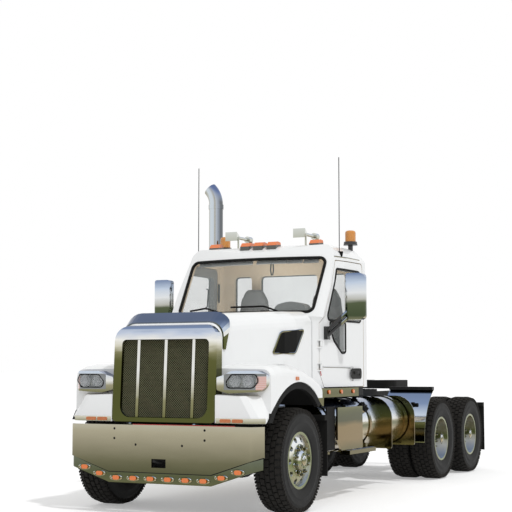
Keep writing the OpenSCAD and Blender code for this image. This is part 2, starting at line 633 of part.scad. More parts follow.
// Door outline, and the opening for it a gap larger
door_front_y = 965;
door_rear_y = 2200;
door_top = 2780;
window_margin = 108;
door_cut_y = 1085;
door_cut_z = 1470;
module door_outline(grow) polygon(rounded([
    [door_cut_y - 0.52 * grow, door_low - grow, 25], [door_front_y - grow, door_cut_z - 0.32 * grow, 25],
    [door_front_y - grow, 2020 + 0.8 * grow, 30], [1110 - grow, 2100 + 0.8 * grow, 60],
    [1515 - grow, door_top + grow, 40], [door_rear_y + grow, door_top + grow, 60],
    [door_rear_y + grow, door_low - grow, 25]]));
// The main window, and a low one for the view of the kerb
module door_windows() {
    polygon(rounded([[1165, 2080, 40], [2110, 2080, 50], [2110, door_top - window_margin, 50],
        [1505, door_top - window_margin, 40]]));
    polygon(rounded([[1235, 2040, 25], [1330, 1850, 200], [1560, 1700, 60], [1650, 1708, 30],
        [1650, 2040, 25]]));
}
wall_in_x = cab_front_half_w - 150;
module door_holes() both_sides() side_shape(wall_in_x, 1200) door_outline(door_gap);
module side_wall() difference() {
    cab_outer();
    cab_skin(door_t, -200, 5);
}
module screen_opening() polygon(rounded(mirrored([[874, 2165, 60], [884, 2808, 70]])));
rear_windows = [[-770, -520], [-400, 400], [520, 770]];
module rear_openings() for (w = rear_windows) polygon(rounded([
    [w[0], 2150, 50], [w[1], 2150, 50], [w[1], 2690, 50], [w[0], 2690, 50]]));

floor_half_w = cab_front_half_w - 2;
module cab_floor() color([0.9, 0.9, 0.9]) place() plan_shape(cab_low, floor_top) polygon(rounded(mirrored([
    [floor_half_w, cab_front_y, 0], [floor_half_w, cab_back_y, 60]])));
module cab_front() color([0.93, 0.94, 0.94]) place() {
    difference() {
        intersection() {
            cab_shell();
            box(-1200, 1200, 0, 1800, 0, roof_split_z);
        }
        door_holes();
        front_shape(0, 1750) screen_opening();
    }
    both_sides() for (z = door_hinge_zs) pillar_hinge(z);
}
module cab_back() color([0.93, 0.94, 0.94]) place() difference() {
    intersection() {
        cab_shell();
        box(-1200, 1200, 1800, 3000, 0, roof_split_z);
    }
    door_holes();
    front_shape(2200, 2500) rear_openings();
}
module cab_roof() color([0.93, 0.94, 0.94]) place() intersection() {
    cab_shell();
    box(-1200, 1200, 0, 3000, roof_split_z, 4000);
}
glass_set = 14;
glass_t = 12;
module cab_glass() color([0.6, 0.7, 0.72]) place() {
    intersection() {
        front_shape(700, 1750) screen_opening();
        difference() {
            screen_cylinder(glass_set);
            screen_cylinder(glass_set + glass_t);
        }
        box(-1000, 1000, 700, 1750, 2000, roof_split_z);
    }
    front_shape(cab_back_y - glass_set - glass_t, cab_back_y - glass_set) rear_openings();
}

// Door hinges: a pin between two lugs of the front pillar, and a knuckle of the door that turns on it
door_pin_x = 1030;
door_pin_y = 962;
door_pin_r = 6;
door_knuckle_r = 14;
door_knuckle_h = 60;
door_lug_t = 12;
door_lug_play = 6;
door_hinge_zs = [1500, 1760];
module door_pin(r) translate([door_pin_x, door_pin_y]) circle(r = r);
module pillar_hinge(z) {
    for (low = [z - door_lug_play - door_lug_t, z + door_knuckle_h + door_lug_play])
        plan_shape(low, low + door_lug_t) {
            door_pin(door_knuckle_r);
            polygon([[998, 892], [998, 944], [1020, 970], [1040, 953]]);
        }
    plan_shape(z - door_lug_play - 1, z + door_knuckle_h + door_lug_play + 1) door_pin(door_pin_r);
}
module door_knuckle(z) plan_shape(z, z + door_knuckle_h) difference() {
    union() {
        door_pin(door_knuckle_r);
        polygon([[1018, 968], [1005, 990], [1005, 1050], [1016, 1050], [1040, 972]]);
    }
    door_pin(door_pin_r + fit);
}

// Doors with their glass, pull handles and mirrors
handle_y = 1800;
handle_z = 1400;
handle_l = 290;
handle_h = 105;
swage_depth = 8;
module swage() difference() {
    side_shape(wall_in_x, 1200) polygon(rounded([
        [1000, 1500, 10], [1030, 1542, 15], [1880, 1534, 15], [1880, 1362, 15], [1075, 1420, 15]]));
    cab_skin(swage_depth, -200);
}
module door() {
    for (z = door_hinge_zs) door_knuckle(z);
    difference() {
        intersection() {
            side_wall();
            side_shape(wall_in_x, 1200) door_outline(0);
        }
        side_shape(wall_in_x, 1200) door_windows();
        swage();
    }
    difference() {
        side_shape(cab_half_w - 30, cab_half_w + 12) polygon(rounded([[handle_y, handle_z, 25],
            [handle_y + handle_l, handle_z, 25], [handle_y + handle_l, handle_z + handle_h, 25],
            [handle_y, handle_z + handle_h, 25]]));
        cab_outer();
    }
}
module door_glass() intersection() {
    side_shape(700, 1200) door_windows();
    difference() {
        cab_skin(glass_set, 0);
        cab_skin(glass_set + glass_t, -200, 5);
    }
}
mirror_x = 1285;
mirror_y = 1360;
mirror_low = 2070;
mirror_top = 2610;
mirror_half_w = 125;
// Bars of the mirror's arm: height at the bracket and at the mirror
mirror_bars = [[1890, 2105], [1955, 2175]];
bar_r = 22;
module mirror_unit() {
    intersection() {
        plan_shape(mirror_low, mirror_top) polygon(rounded([
            [mirror_x - mirror_half_w, mirror_y + 60, 15], [mirror_x - mirror_half_w, mirror_y - 40, 60],
            [mirror_x + mirror_half_w, mirror_y - 40, 60], [mirror_x + mirror_half_w, mirror_y + 60, 15]]));
        front_shape(mirror_y - 60, mirror_y + 80) polygon(rounded([
            [mirror_x - mirror_half_w, mirror_low, 45], [mirror_x + mirror_half_w, mirror_low, 60],
            [mirror_x + mirror_half_w, mirror_top, 60], [mirror_x - mirror_half_w, mirror_top, 50]]));
    }
    difference() {
        union() {
            box(990, 1060, 1080, 1160, 1840, 1990);
            for (bar = mirror_bars) hull() {
                translate([1050, 1120, bar[0]]) sphere(r = bar_r, $fn = 24);
                translate([mirror_x - 85, mirror_y, bar[1]]) sphere(r = bar_r, $fn = 24);
            }
        }
        cab_outer();
    }
}
module door_left() color([0.93, 0.94, 0.94]) place() door();
module door_right() color([0.93, 0.94, 0.94]) place() right() door();
module door_glass_left() color([0.6, 0.7, 0.72]) place() door_glass();
module door_glass_right() color([0.6, 0.7, 0.72]) place() right() door_glass();
module mirror_left() color([0.8, 0.82, 0.85]) place() mirror_unit();
module mirror_right() color([0.8, 0.82, 0.85]) place() right() mirror_unit();

// Inside the cab: dashboard, steering wheel and two seats
dash_half_w = 910;
module dash() side_shape(-dash_half_w, dash_half_w) polygon(rounded([
    [cab_front_y + wall_t, 1600, 0], [cab_front_y + wall_t, cowl_z - roof_t, 0], [1125, cowl_z - roof_t, 0],
    [1125, 2140, 20], [1400, 2150, 60], [1445, 1950, 60], [1330, 1600, 40]]));
module dashboard() color([0.45, 0.45, 0.46]) place() {
    dash();
    front_shape(1220, 1395) polygon(rounded([[wheel_at[0] - 245, 2146, 0], [wheel_at[0] - 170, 2262, 90],
        [wheel_at[0], 2300, 280], [wheel_at[0] + 170, 2262, 90], [wheel_at[0] + 245, 2146, 0]]));
}
wheel_at = [520, 1600, 2060];
wheel_tilt = 35;
module steering_wheel() color([0.15, 0.15, 0.15]) place() difference() {
    translate(wheel_at) rotate([-wheel_tilt, 0, 0]) {
        rotate_extrude() translate([215, 0]) circle(r = 15);
        cylinder(r = 55, h = 30, center = true);
        for (a = [90, 210, 330]) rotate([0, 0, a]) box(40, 210, -14, 14, -8, 8);
        translate([0, 0, -460]) cylinder(r = 32, h = 450);
    }
    dash();
}
// Seats: the passenger's and the driver's
seat_xs = [-395, 600];
seat_half_w = 245;
module seats() color([0.4, 0.4, 0.41]) place() for (x = seat_xs) translate([x, 0, 0]) {
    side_shape(-seat_half_w, seat_half_w) polygon(rounded([
        [1740, 1600, 50], [1720, 1730, 50], [2030, 1720, 40], [2085, 2240, 30], [2190, 2240, 40],
        [2190, 1600, 60]]));
    side_shape(-160, 160) polygon([[1800, floor_top], [1800, 1601], [2120, 1601], [2120, floor_top]]);
    front_shape(2096, 2184) polygon(rounded(mirrored([[215, 2200, 0], [200, 2400, 120], [120, 2545,
        110]])));
}

// Wipers lie on the cowl in front of the glass: a pivot, an arm and a blade
wiper_xs = [-430, 330];
wiper_l = 420;
wiper_y = 860;
module wipers() color([0.04, 0.04, 0.04]) place() for (x = wiper_xs) translate([x, wiper_y, cowl_z]) {
    cylinder(r = 22, h = 84);
    box(0, wiper_l - 100, -11, 9, 60, 74);
    box(-120, wiper_l, -7, 7, 70, 90);
}

// Roof: air horns with square bells, amber markers, beacons and whip antennas
horn_x = 463;
horn_y = 1620;
horn_z = 3143;
module air_horns() color([0.85, 0.85, 0.85]) place() both_sides() difference() {
    translate([horn_x, horn_y, horn_z]) {
        hull() {
            box(-78, 78, -10, 0, -55, 55);
            box(-26, 26, 160, 170, -22, 22);
        }
        along_y(165, 470, 20);
        along_y(430, 520, 42);
        for (y = [190, 440]) translate([0, y, -220]) cylinder(r = 12, h = 220);
    }
    cab_outer();
}
// Markers on the roof: place across and along the truck
roof_markers = [[0, 1490], [178, 1495], [-178, 1495], [680, 1630], [-680, 1630]];
marker_h = 62;
function marker_z(y) = roof_top - 55 + 50 * (y - 1480) / 470;
// Lamps in the strip under the bumper: place across the truck
strip_lamp_xs = [104, 312, 520, 728, 915];
function strip_lamp_z(x) = bumper_low - 0.57 * valance_h
    + max(0, x - bumper_kink_x) * (bumper_end_low - bumper_low) / (bumper_half_w + 10 - bumper_kink_x);
sill_lamp_ys = [1063, 1424, 1787];
sill_x = 1078;
module marker_lamps() color([0.95, 0.45, 0.08]) place() {
    difference() {
        for (m = roof_markers) translate([m[0], 0, marker_z(m[1])]) side_shape(-62, 62)
            polygon(rounded([[m[1] - 70, -60, 0], [m[1] - 70, 10, 15], [m[1] - 20, marker_h, 25],
                [m[1] + 70, marker_h - 5, 25], [m[1] + 90, -60, 0]]));
        cab_outer();
    }
    both_sides() for (x = strip_lamp_xs) translate([x, bumper_y + valance_set, strip_lamp_z(x)])
        front_shape(-12, 0) polygon(rounded([[-40, -22, 20], [40, -22, 20], [40, 22, 20], [-40, 22, 20]]));
    both_sides() for (y = sill_lamp_ys) translate([0, y, 1245]) along_x(sill_x, sill_x + 14, 24);
}
beacon_x = 875;
beacon_y = 2240;
beacon_z = 3028;
beacon_base_h = 44;
beacon_dome_h = 140;
module beacons() color([0.9, 0.5, 0.1]) place() both_sides() difference() {
    translate([beacon_x, beacon_y, 0]) {
        translate([0, 0, 2850]) cylinder(r = 30, h = beacon_z - 2850);
        translate([0, 0, beacon_z]) cylinder(r1 = 88, r2 = 80, h = beacon_base_h);
        translate([0, 0, beacon_z + beacon_base_h]) rotate_extrude()
            polygon(rounded([[0, -1, 0], [66, -1, 0], [66, beacon_dome_h, 30], [0, beacon_dome_h, 0]]));
    }
    cab_outer();
}
antenna_x = 960;
antenna_y = 1680;
antenna_low = 2780;
antenna_top = 4040;
module antennas() color([0.05, 0.05, 0.05]) place() both_sides() difference() {
    translate([antenna_x, antenna_y, antenna_low]) {
        cylinder(r1 = 16, r2 = 36, h = 115);
        cylinder(r = 5, h = antenna_top - antenna_low);
    }
    cab_outer();
}

// Exhaust stack behind the cab's right corner, on two brackets, with a curved tip
stack_x = -1127;
stack_y = 2450;
stack_r = 92;
stack_wall = 6;
stack_bend_z = 3675;
stack_bend_r = 300;
stack_low = 940;
stack_solid_h = 200;
// The tip is clamped on by a collar
collar_r = stack_r + 8;
collar_h = 60;
module exhaust_stack() color([0.8, 0.82, 0.85]) place() {
    translate([stack_x, stack_y, 0]) rotate_extrude() polygon([
        [0, stack_low], [stack_r, stack_low], [stack_r, stack_bend_z - collar_h],
            [collar_r, stack_bend_z - collar_h],
        [collar_r, stack_bend_z], [stack_r - stack_wall - 1, stack_bend_z],
        [stack_r - stack_wall - 1, stack_low + stack_solid_h], [0, stack_low + stack_solid_h]]);
    translate([stack_x - stack_bend_r, stack_y, stack_bend_z]) rotate([90, 0, 0])
        rotate_extrude(angle = 45, $fn = 96) translate([stack_bend_r, 0]) difference() {
            circle(r = stack_r);
            circle(r = stack_r - stack_wall);
        }
    translate([0, stack_y, stack_low + 20]) along_x(stack_x, -rail_x, 60);
    difference() {
        for (z = [1900, 2650]) box(stack_x - 20, -960, cab_back_y, stack_y + 10, z, z + 45);
        translate([stack_x, stack_y, stack_low]) cylinder(r = stack_r - 3, h = stack_bend_z - stack_low);
    }
}

// Fuel tanks on brackets from the rails: start and end of each side's tanks along the truck
tank_front_y = 900;
tank_back_y = rear_axle_ys[0] - 1228.5;
// The right tanks leave room for the exhaust's cross pipe
left_tanks = [[tank_front_y, tank_back_y - 840], [tank_back_y - 780, tank_back_y]];
right_tanks = [[tank_front_y, stack_y - 120], [stack_y + 150, tank_back_y]];
module tank(t) translate([tank_x, 0, tank_z]) along_y(t[0], t[1], tank_r);
module tanks(list) for (t = list) tank(t);
filler_y = 2150;
module fuel_tanks() color([0.8, 0.8, 0.8]) place() {
    tanks(left_tanks);
    right() tanks(right_tanks);
    both_sides() translate([tank_x, filler_y, tank_z]) rotate([0, 52, 0]) translate([0, 0, tank_r - 5])
        cylinder(r = 62, h = 35);
}
// Bands round the tanks with brackets to the rails, a plate over each tank's rear end, step panel and step
band_t = 12;
band_w = 60;
bracket_low = tank_z - tank_r - 40;
module band_outline() difference() {
    union() {
        translate([tank_x, tank_z]) circle(r = tank_r + band_t);
        translate([rail_x, bracket_low]) square([tank_x - rail_x, 40 + band_t]);
        translate([rail_x, bracket_low]) square([22, rail_top - 30 - bracket_low]);
    }
    translate([tank_x, tank_z]) circle(r = tank_r);
}
module band(y) front_shape(y, y + band_w) band_outline();
end_plate_x = 1222;
end_plate_t = 14;
module end_plate(y) front_shape(y + fit, y + fit + end_plate_t) polygon(rounded([
    [tank_x - 0.8 * tank_r, tank_z - tank_r - 15, 25], [end_plate_x, tank_z - tank_r - 15, 25],
    [end_plate_x, tank_z + tank_r + 10, 250], [tank_x - 0.8 * tank_r, tank_z + tank_r + 10, 120]]));
step_band_ys = [1010, 1660, 2230];
step_y0 = 992;
step_y1 = 1740;
step_x = 1195;
step_t = 22;
step_low = 605;
step_top = 1075;
tread_x0 = tank_x + 210;
module tank_steps() color([0.75, 0.75, 0.73]) place() {
    for (y = [left_tanks[1][0] + 110, left_tanks[1][1] - 150]) band(y);
    for (t = left_tanks) end_plate(t[1]);
    right() {
        for (y = [right_tanks[1][0] + 110, right_tanks[1][1] - 150]) band(y);
        for (t = right_tanks) end_plate(t[1]);
    }
    both_sides() {
        for (y = step_band_ys) band(y);
        for (y = [step_band_ys[0], step_band_ys[1]])
            box(tank_x + tank_r + 3, step_x + 1, y, y + band_w, tank_z - 25, tank_z + 25);
        side_shape(step_x, step_x + step_t) polygon([[step_y0, step_top], [step_y1, step_top],
            [step_y1, step_low], [step_y0 + 98, step_low], [step_y0, step_low + 107]]);
        box(step_x - 60, step_x + step_t, step_y0 + 98, step_y1, step_low - 12, step_low + 6);
        for (y = [step_band_ys[1], step_band_ys[2]]) box(tread_x0, tread_x0 + 45, y, y + band_w, 550, 615);
        box(tread_x0 - 5, tread_x0 + 115, step_band_ys[1] - 100, step_band_ys[2] + 160, 515, 560);
    }
}

// Bright panels under the doors
module sill_panels() color([0.7, 0.7, 0.62]) place() both_sides() side_shape(floor_half_w, sill_x) polygon([
    [hood_rear_y - 115, cab_low - 4], [hood_rear_y - 115, floor_top - 2], [1970, floor_top - 2],
    [1970, cab_low - 4], [925, cab_low - 4], [920, cab_low - 98], [880, cab_low - 98],
    [hood_rear_y - 35, cab_low - 4]]);

// Fifth wheel: a plate with a throat for the trailer's kingpin, on two brackets over the rails
fifth_y = 5310;
fifth_t = 45;
fifth_skirt = 75;
module fifth_plate() polygon(rounded([
    [fifth_half_w, -430, 120], [fifth_half_w, 150, 60], [330, 420, 40], [190, 420, 30], [jaw_r, 60, 0],
        [jaw_r, 0, 0],
    [-jaw_r, 0, 0], [-jaw_r, 60, 0], [-190, 420, 30], [-330, 420, 40], [-fifth_half_w, 150, 60],
    [-fifth_half_w, -430, 120]]));
module fifth_wheel() color([0.05, 0.05, 0.05]) place() translate([0, fifth_y, 0]) {
    difference() {
        union() {
            plan_shape(fifth_top - fifth_t, fifth_top) fifth_plate();
            plan_shape(fifth_top - fifth_t - fifth_skirt, fifth_top - fifth_t + 1) difference() {
                fifth_plate();
                square([2 * fifth_half_w - 60, 560], center = true);
            }
        }
        translate([0, 0, fifth_top - 200]) cylinder(r = jaw_r, h = 300);
    }
    both_sides() {
        box(rail_x - rail_flange, rail_x, -450, 450, rail_top, rail_top + 30);
        side_shape(rail_x - rail_flange + 10, rail_x - 20) polygon([[-220, rail_top + 29],
            [220, rail_top + 29],
            [70, fifth_top - fifth_t + 1], [-70, fifth_top - fifth_t + 1]]);
    }
}

// Quarter fenders ahead of the driven wheels, with a dark rail along the top and a tube to the frame
quarter_r = 760;
quarter_t = 8;
quarter_x0 = 575;
quarter_x1 = 1200;
quarter_top = 1222;
module quarter_fenders() color([0.8, 0.82, 0.85]) place() both_sides() translate([0, rear_axle_ys[0], 0]) {
    intersection() {
        translate([0, 0, axle_z]) difference() {
            along_x(quarter_x0, quarter_x1, quarter_r + quarter_t);
            along_x(quarter_x0 - 1, quarter_x1 + 1, quarter_r);
        }
        box(0, 2000, -1000, -100, axle_z - 20, quarter_top);
    }
    box(quarter_x0, quarter_x1, -quarter_top_back() - 60, -quarter_top_back()
        + 10, quarter_top, quarter_top + 45);
    translate([0, -(quarter_r - 24) * cos(30), axle_z + (quarter_r - 24) * sin(30)])
        along_x(rail_x, quarter_x1 - 60, 24);
}
function quarter_top_back() = sqrt(pow(quarter_r, 2) - pow(quarter_top - axle_z, 2));

// Mudflaps behind the steered and the last driven wheels, on hangers from the rails
// Columns: place along the truck, lower and upper edge, inner and outer edge
flap_t = 15;
flaps = [[760, 330, 1000, 640, 1185], [mudflap_back_y - flap_t, 280, 1000, 600, 1180]];
// The front flaps have a return along the side, as far as the step panel
module mudflaps() color([0.05, 0.05, 0.05]) place() both_sides() {
    for (f = flaps) {
        box(f[3], f[4], f[0], f[0] + flap_t, f[1], f[2]);
        box(rail_x, f[4], f[0] - 60, f[0], f[2] - 60, f[2]);
    }
    box(flaps[0][4] - flap_t, flaps[0][4], flaps[0][0], step_y0 - 6, step_low, step_top + 10);
}
module tail_lamps() color([0.7, 0.05, 0.04]) place() both_sides()
    front_shape(rail_back_y, rail_back_y + 30) polygon(rounded([
        [140, 820, 30], [320, 820, 30], [320, 900, 30], [140, 900, 30]]));

frame_rails();
crossmembers();
bumper();
bumper_valance();
marker_lamps();
front_axle();
suspension();
rear_axles();
driveshafts();
engine();
radiator();
cab_floor();
cab_front();
cab_back();
cab_roof();
cab_glass();
dashboard();
steering_wheel();
seats();
wipers();
air_horns();
beacons();
antennas();
exhaust_stack();
fuel_tanks();
tank_steps();
sill_panels();
fifth_wheel();
quarter_fenders();
mudflaps();
tail_lamps();
hood_shell();
grille_surround();
grille_insert();
hood_crown();
headlamps();
arch_liners();
fender_lamps();
hood_vents();
door_left();
door_right();
door_glass_left();
door_glass_right();
mirror_left();
mirror_right();
knuckle_left();
knuckle_right();
tyre_front_left();
tyre_front_right();
rim_front_left();
rim_front_right();
tyres_rear_left(0);  // tyres_rear_1_left
tyres_rear_right(0);  // tyres_rear_1_right
tyres_rear_left(1);  // tyres_rear_2_left
tyres_rear_right(1);  // tyres_rear_2_right
rims_rear_left(0);  // rims_rear_1_left
rims_rear_right(0);  // rims_rear_1_right
rims_rear_left(1);  // rims_rear_2_left
rims_rear_right(1);  // rims_rear_2_right
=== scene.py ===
"""A white conventional day cab truck tractor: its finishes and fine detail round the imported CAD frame."""
import math

import bmesh
import bpy
from mathutils import Matrix, Vector
from mathutils.bvhtree import BVHTree


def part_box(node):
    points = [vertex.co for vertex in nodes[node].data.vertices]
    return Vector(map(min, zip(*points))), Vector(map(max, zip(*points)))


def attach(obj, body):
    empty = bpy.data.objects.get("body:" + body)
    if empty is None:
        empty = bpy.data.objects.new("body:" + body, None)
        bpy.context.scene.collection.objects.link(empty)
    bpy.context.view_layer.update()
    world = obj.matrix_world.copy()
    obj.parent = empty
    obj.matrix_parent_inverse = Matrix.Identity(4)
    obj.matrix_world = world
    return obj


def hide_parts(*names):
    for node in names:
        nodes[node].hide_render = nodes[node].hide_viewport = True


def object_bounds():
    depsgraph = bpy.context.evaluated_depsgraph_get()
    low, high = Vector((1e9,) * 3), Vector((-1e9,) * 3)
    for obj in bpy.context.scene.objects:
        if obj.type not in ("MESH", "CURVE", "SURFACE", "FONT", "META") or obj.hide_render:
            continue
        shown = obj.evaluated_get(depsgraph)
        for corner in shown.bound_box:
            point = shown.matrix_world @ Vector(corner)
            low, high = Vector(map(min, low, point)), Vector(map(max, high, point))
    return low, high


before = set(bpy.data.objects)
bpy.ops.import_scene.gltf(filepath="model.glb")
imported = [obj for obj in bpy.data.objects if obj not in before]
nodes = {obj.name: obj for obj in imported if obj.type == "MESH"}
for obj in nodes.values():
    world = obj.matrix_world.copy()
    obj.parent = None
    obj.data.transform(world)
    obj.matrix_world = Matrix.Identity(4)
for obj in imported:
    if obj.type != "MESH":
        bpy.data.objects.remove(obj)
cad_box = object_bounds()


# Studio: a plain pale floor that keeps a soft shadow, an even white surround, a sun, a broad lamp ahead and a
# soft one in the cab. The surround is white to the camera and in reflections, and lights the truck softer.
class Socket:
    """One output of a shader node. Arithmetic on it adds Math nodes."""

    def __init__(self, finish, output):
        self.finish = finish
        self.output = output

    def math(self, operation, *values):
        return self.finish.add("Math", {"operation": operation}, dict(enumerate(values)))

    def __add__(self, other):
        return self.math("ADD", self, other)

    def __sub__(self, other):
        return self.math("SUBTRACT", self, other)

    def __rsub__(self, other):
        return self.math("SUBTRACT", other, self)

    def __mul__(self, other):
        return self.math("MULTIPLY", self, other)

    def __gt__(self, other):
        return self.math("GREATER_THAN", self, other)

    def __lt__(self, other):
        return self.math("LESS_THAN", self, other)

    def __abs__(self):
        return self.math("ABSOLUTE", self)

    __radd__, __rmul__ = __add__, __mul__


class Finish:
    """A node tree under construction, with one method that adds any node to it."""

    def __init__(self, name, sockets=None, owner=None):
        self.owner = owner or bpy.data.materials.new(name)
        self.owner.use_nodes = True
        self.tree = self.owner.node_tree
        self.shader = self.tree.nodes.get("Principled BSDF")
        self.set(self.shader, sockets or {})

    def set(self, node, sockets):
        for key, value in sockets.items():
            if isinstance(value, Socket):
                self.tree.links.new(value.output, node.inputs[key])
            elif isinstance(value, tuple) and len(value) == 3 and node.inputs[key].type == "RGBA":
                node.inputs[key].default_value = (*value, 1)
            else:
                node.inputs[key].default_value = value

    def add(self, kind, settings=None, sockets=None, out=0):
        node = self.tree.nodes.new("ShaderNode" + kind)
        for key, value in (settings or {}).items():
            if key == "stops":
                while len(node.color_ramp.elements) < len(value):
                    node.color_ramp.elements.new(1)
                for element, (place, *colour) in zip(node.color_ramp.elements, value):
                    element.position = place
                    element.color = (*colour, 1)
            else:
                setattr(node, key, value)
        self.set(node, sockets or {})
        return Socket(self, node.outputs[out])

    def place(self, axis=None):
        spot = self.add("TexCoord", out="Object")
        return self.add("SeparateXYZ", None, {0: spot}, axis) if axis else spot

    def facing(self, axis):
        return self.add("SeparateXYZ", None, {0: self.add("TexCoord", out="Normal")}, axis)

    def noise(self, scale, detail=3, stretch=(1, 1, 1)):
        spot = self.add("Mapping", None, {"Vector": self.place(), "Scale": stretch})
        return self.add("TexNoise", None, {"Vector": spot, "Scale": scale, "Detail": detail}, "Fac")

    def ramp(self, value, stops):
        return self.add("ValToRGB", {"stops": stops}, {0: value}, "Color")

    def mix(self, mask, low, high):
        return self.add("Mix", {"data_type": "RGBA"}, {0: mask, 6: low, 7: high}, 2)

    def seen(self):
        """1 on the rays that show the studio: straight to the camera, by a reflection or through glass."""
        rays = [self.add("LightPath", out=f"Is {kind} Ray") for kind in ("Camera", "Glossy", "Transmission")]
        return rays[0] + rays[1] + rays[2] > 0.5

    def look(self, **sockets):
        self.set(self.shader, {key.replace("_", " ").title(): value for key, value in sockets.items()})

    def cover(self, mask, colour, **sockets):
        """Lays another colour over the finish where the mask is 1."""
        below = Socket(self, self.shader.inputs["Base Color"].links[0].from_socket)
        self.look(base_color=self.mix(mask, below, colour), **sockets)

    def bump(self, height, distance, strength=0.5):
        sockets = {"Height": height, "Distance": distance, "Strength": strength}
        self.look(normal=self.add("Bump", None, sockets))


scene = bpy.context.scene


def linked(name, data):
    """A new object of this name, linked to the scene."""
    made = bpy.data.objects.new(name, data)
    scene.collection.objects.link(made)
    return made


CAMERA_SPOT = (6.734, -15.112, 1.493)
CAMERA_TURN = (math.radians(95.19), 0, 0.463)
camera_data = bpy.data.cameras.new("photo_camera")
camera_data.lens = 88.33
camera_data.sensor_width = 36
camera = linked("photo_camera", camera_data)
camera.location = CAMERA_SPOT
camera.rotation_euler = CAMERA_TURN
scene.camera = camera
scene.view_settings.view_transform = "Standard"

SURROUND_LIGHT = 0.58
scene.world = bpy.data.worlds.new("studio")
surround = Finish("studio", owner=scene.world)
surround.set(surround.tree.nodes["Background"], {
    "Color": (1, 1, 1), "Strength": SURROUND_LIGHT + surround.seen() * (1 - SURROUND_LIGHT)})

# Lamps: name, kind, place, aim, power, and a sun's angle or a panel's size
LAMPS = [
    ("key_lamp", "SUN", (6.8, -3.2, 10), (0, 0, 0), 1.45, 0.06),
    ("front_lamp", "AREA", (4, -16, 9), (0, -2, 1.5), 220, 6),
    ("cab_lamp", "AREA", (0, -1.45, 2.02), (0, -0.75, 2.80), 13, 0.9)]
for lamp_name, kind, spot, aim, power, size in LAMPS:
    lamp_data = bpy.data.lights.new(lamp_name, kind)
    lamp_data.energy = power
    setattr(lamp_data, "angle" if kind == "SUN" else "size", size)
    lamp = linked(lamp_name, lamp_data)
    lamp.location = spot
    lamp.rotation_euler = (Vector(aim) - Vector(spot)).to_track_quat("-Z", "Y").to_euler()
    lamp.visible_glossy = lamp.visible_camera = lamp.visible_transmission = False

FLOOR_HALF = 400
FLOOR_GLOW, FLOOR_GLOW_SEEN, FLOOR_GLOW_SHARE = 0.5, 1.55, 0.16
floor_finish = Finish("studio_floor", {"Base Color": (0.94, 0.94, 0.94), "Roughness": 0.9})
glow = floor_finish.add("Emission", None, {
    "Color": (1, 1, 1), "Strength": FLOOR_GLOW + floor_finish.seen() * FLOOR_GLOW_SEEN})
lit = floor_finish.add("MixShader", None, {
    0: FLOOR_GLOW_SHARE, 1: Socket(floor_finish, floor_finish.shader.outputs[0]), 2: glow})
floor_finish.set(floor_finish.tree.nodes["Material Output"], {"Surface": lit})
floor_shape = bmesh.new()
bmesh.ops.create_grid(floor_shape, x_segments=1, y_segments=1, size=FLOOR_HALF)
floor_mesh = bpy.data.meshes.new("studio_floor")
floor_shape.to_mesh(floor_mesh)
floor_mesh.materials.append(floor_finish.owner)
linked("studio_floor", floor_mesh)


# Frame and running gear: pressed steel rails and cross members in black chassis paint, forged and cast
# axles, shafts and engine in a rougher black, all a little dusty where spray from the road reaches them.
def dusty_black(name, tone, roughness, grain, depth):
    finish = Finish(name, {"Specular IOR Level": 0.10})
    dust = finish.noise(3.5, 5)
    grime = finish.noise(14, 4, (1, 1, 0.4))
    pale = (0.009 + 0.8 * tone, 0.009 + 0.8 * tone, 0.008 + 0.75 * tone)
    finish.look(base_color=finish.mix(dust * grime * 1.5, (tone, tone, tone), pale))
    finish.look(roughness=roughness + 0.25 * grime)
    finish.bump(finish.noise(grain, 4), depth, 0.4)
    return finish


def dress(finish, *names):
    for name in names:
        nodes[name].data.materials.clear()
        nodes[name].data.materials.append(finish.owner)


chassis_paint = dusty_black("chassis_paint", 0.008, 0.35, 180, 0.0006)
cast_black = dusty_black("cast_black", 0.012, 0.55, 90, 0.002)
black_moulding = dusty_black("black_moulding", 0.002, 0.4, 420, 0.0004)
dress(chassis_paint, "frame_rails", "crossmembers", "suspension")
dress(cast_black, "front_axle", "rear_axles", "driveshafts", "engine", "knuckle_left", "knuckle_right")
dress(black_moulding, "radiator")


# Tyres: radial truck tyres with chunky traction blocks in five rows, cut by staggered cross grooves, and
# short lugs that run over the shoulders. The carcass is turned, the blocks of one pitch are spun round it.
def turned(profile, steps, shape=None):
    """Spins points (along X, radius) about the X axis, in a new shape or in the one given."""
    shape = bmesh.new() if shape is None else shape
    ring = [shape.verts.new((along, 0, radius)) for along, radius in profile]
    edges = [shape.edges.new(pair) for pair in zip(ring, ring[1:])]
    bmesh.ops.spin(shape, geom=ring + edges, cent=(0, 0, 0), axis=(1, 0, 0), angle=2 * math.pi, steps=steps,
                   use_merge=True)
    bmesh.ops.remove_doubles(shape, verts=shape.verts, dist=1e-6)
    bmesh.ops.recalc_face_normals(shape, faces=shape.faces)
    return shape


def merge(shape, part, place=Matrix(), layer=None):
    """Moves every face of part into shape, and returns the new vertices."""
    bmesh.ops.transform(part, matrix=place, verts=part.verts)
    if place.determinant() < 0:
        bmesh.ops.reverse_faces(part, faces=part.faces)
    if layer is not None:
        for face in part.faces:
            face.material_index = layer
    known = len(shape.verts)
    carrier = bpy.data.meshes.new("carrier")
    part.to_mesh(carrier)
    part.free()
    shape.from_mesh(carrier)
    bpy.data.meshes.remove(carrier)
    shape.verts.ensure_lookup_table()
    return shape.verts[known:]


def block(shape, size, spot, round_off=0.0, turn=None, segments=1):
    """Adds a box with rounded edges and returns its vertices."""
    place = Matrix.Translation(spot) @ (turn or Matrix()).to_4x4() @ Matrix.Diagonal((*size, 1))
    part = bmesh.new()
    bmesh.ops.create_cube(part, size=1, matrix=place)
    if round_off:
        bmesh.ops.bevel(part, geom=part.edges, offset=round_off, affect="EDGES", segments=segments,
                        profile=0.5, material=-1, offset_type="OFFSET", clamp_overlap=True)
    return merge(shape, part)


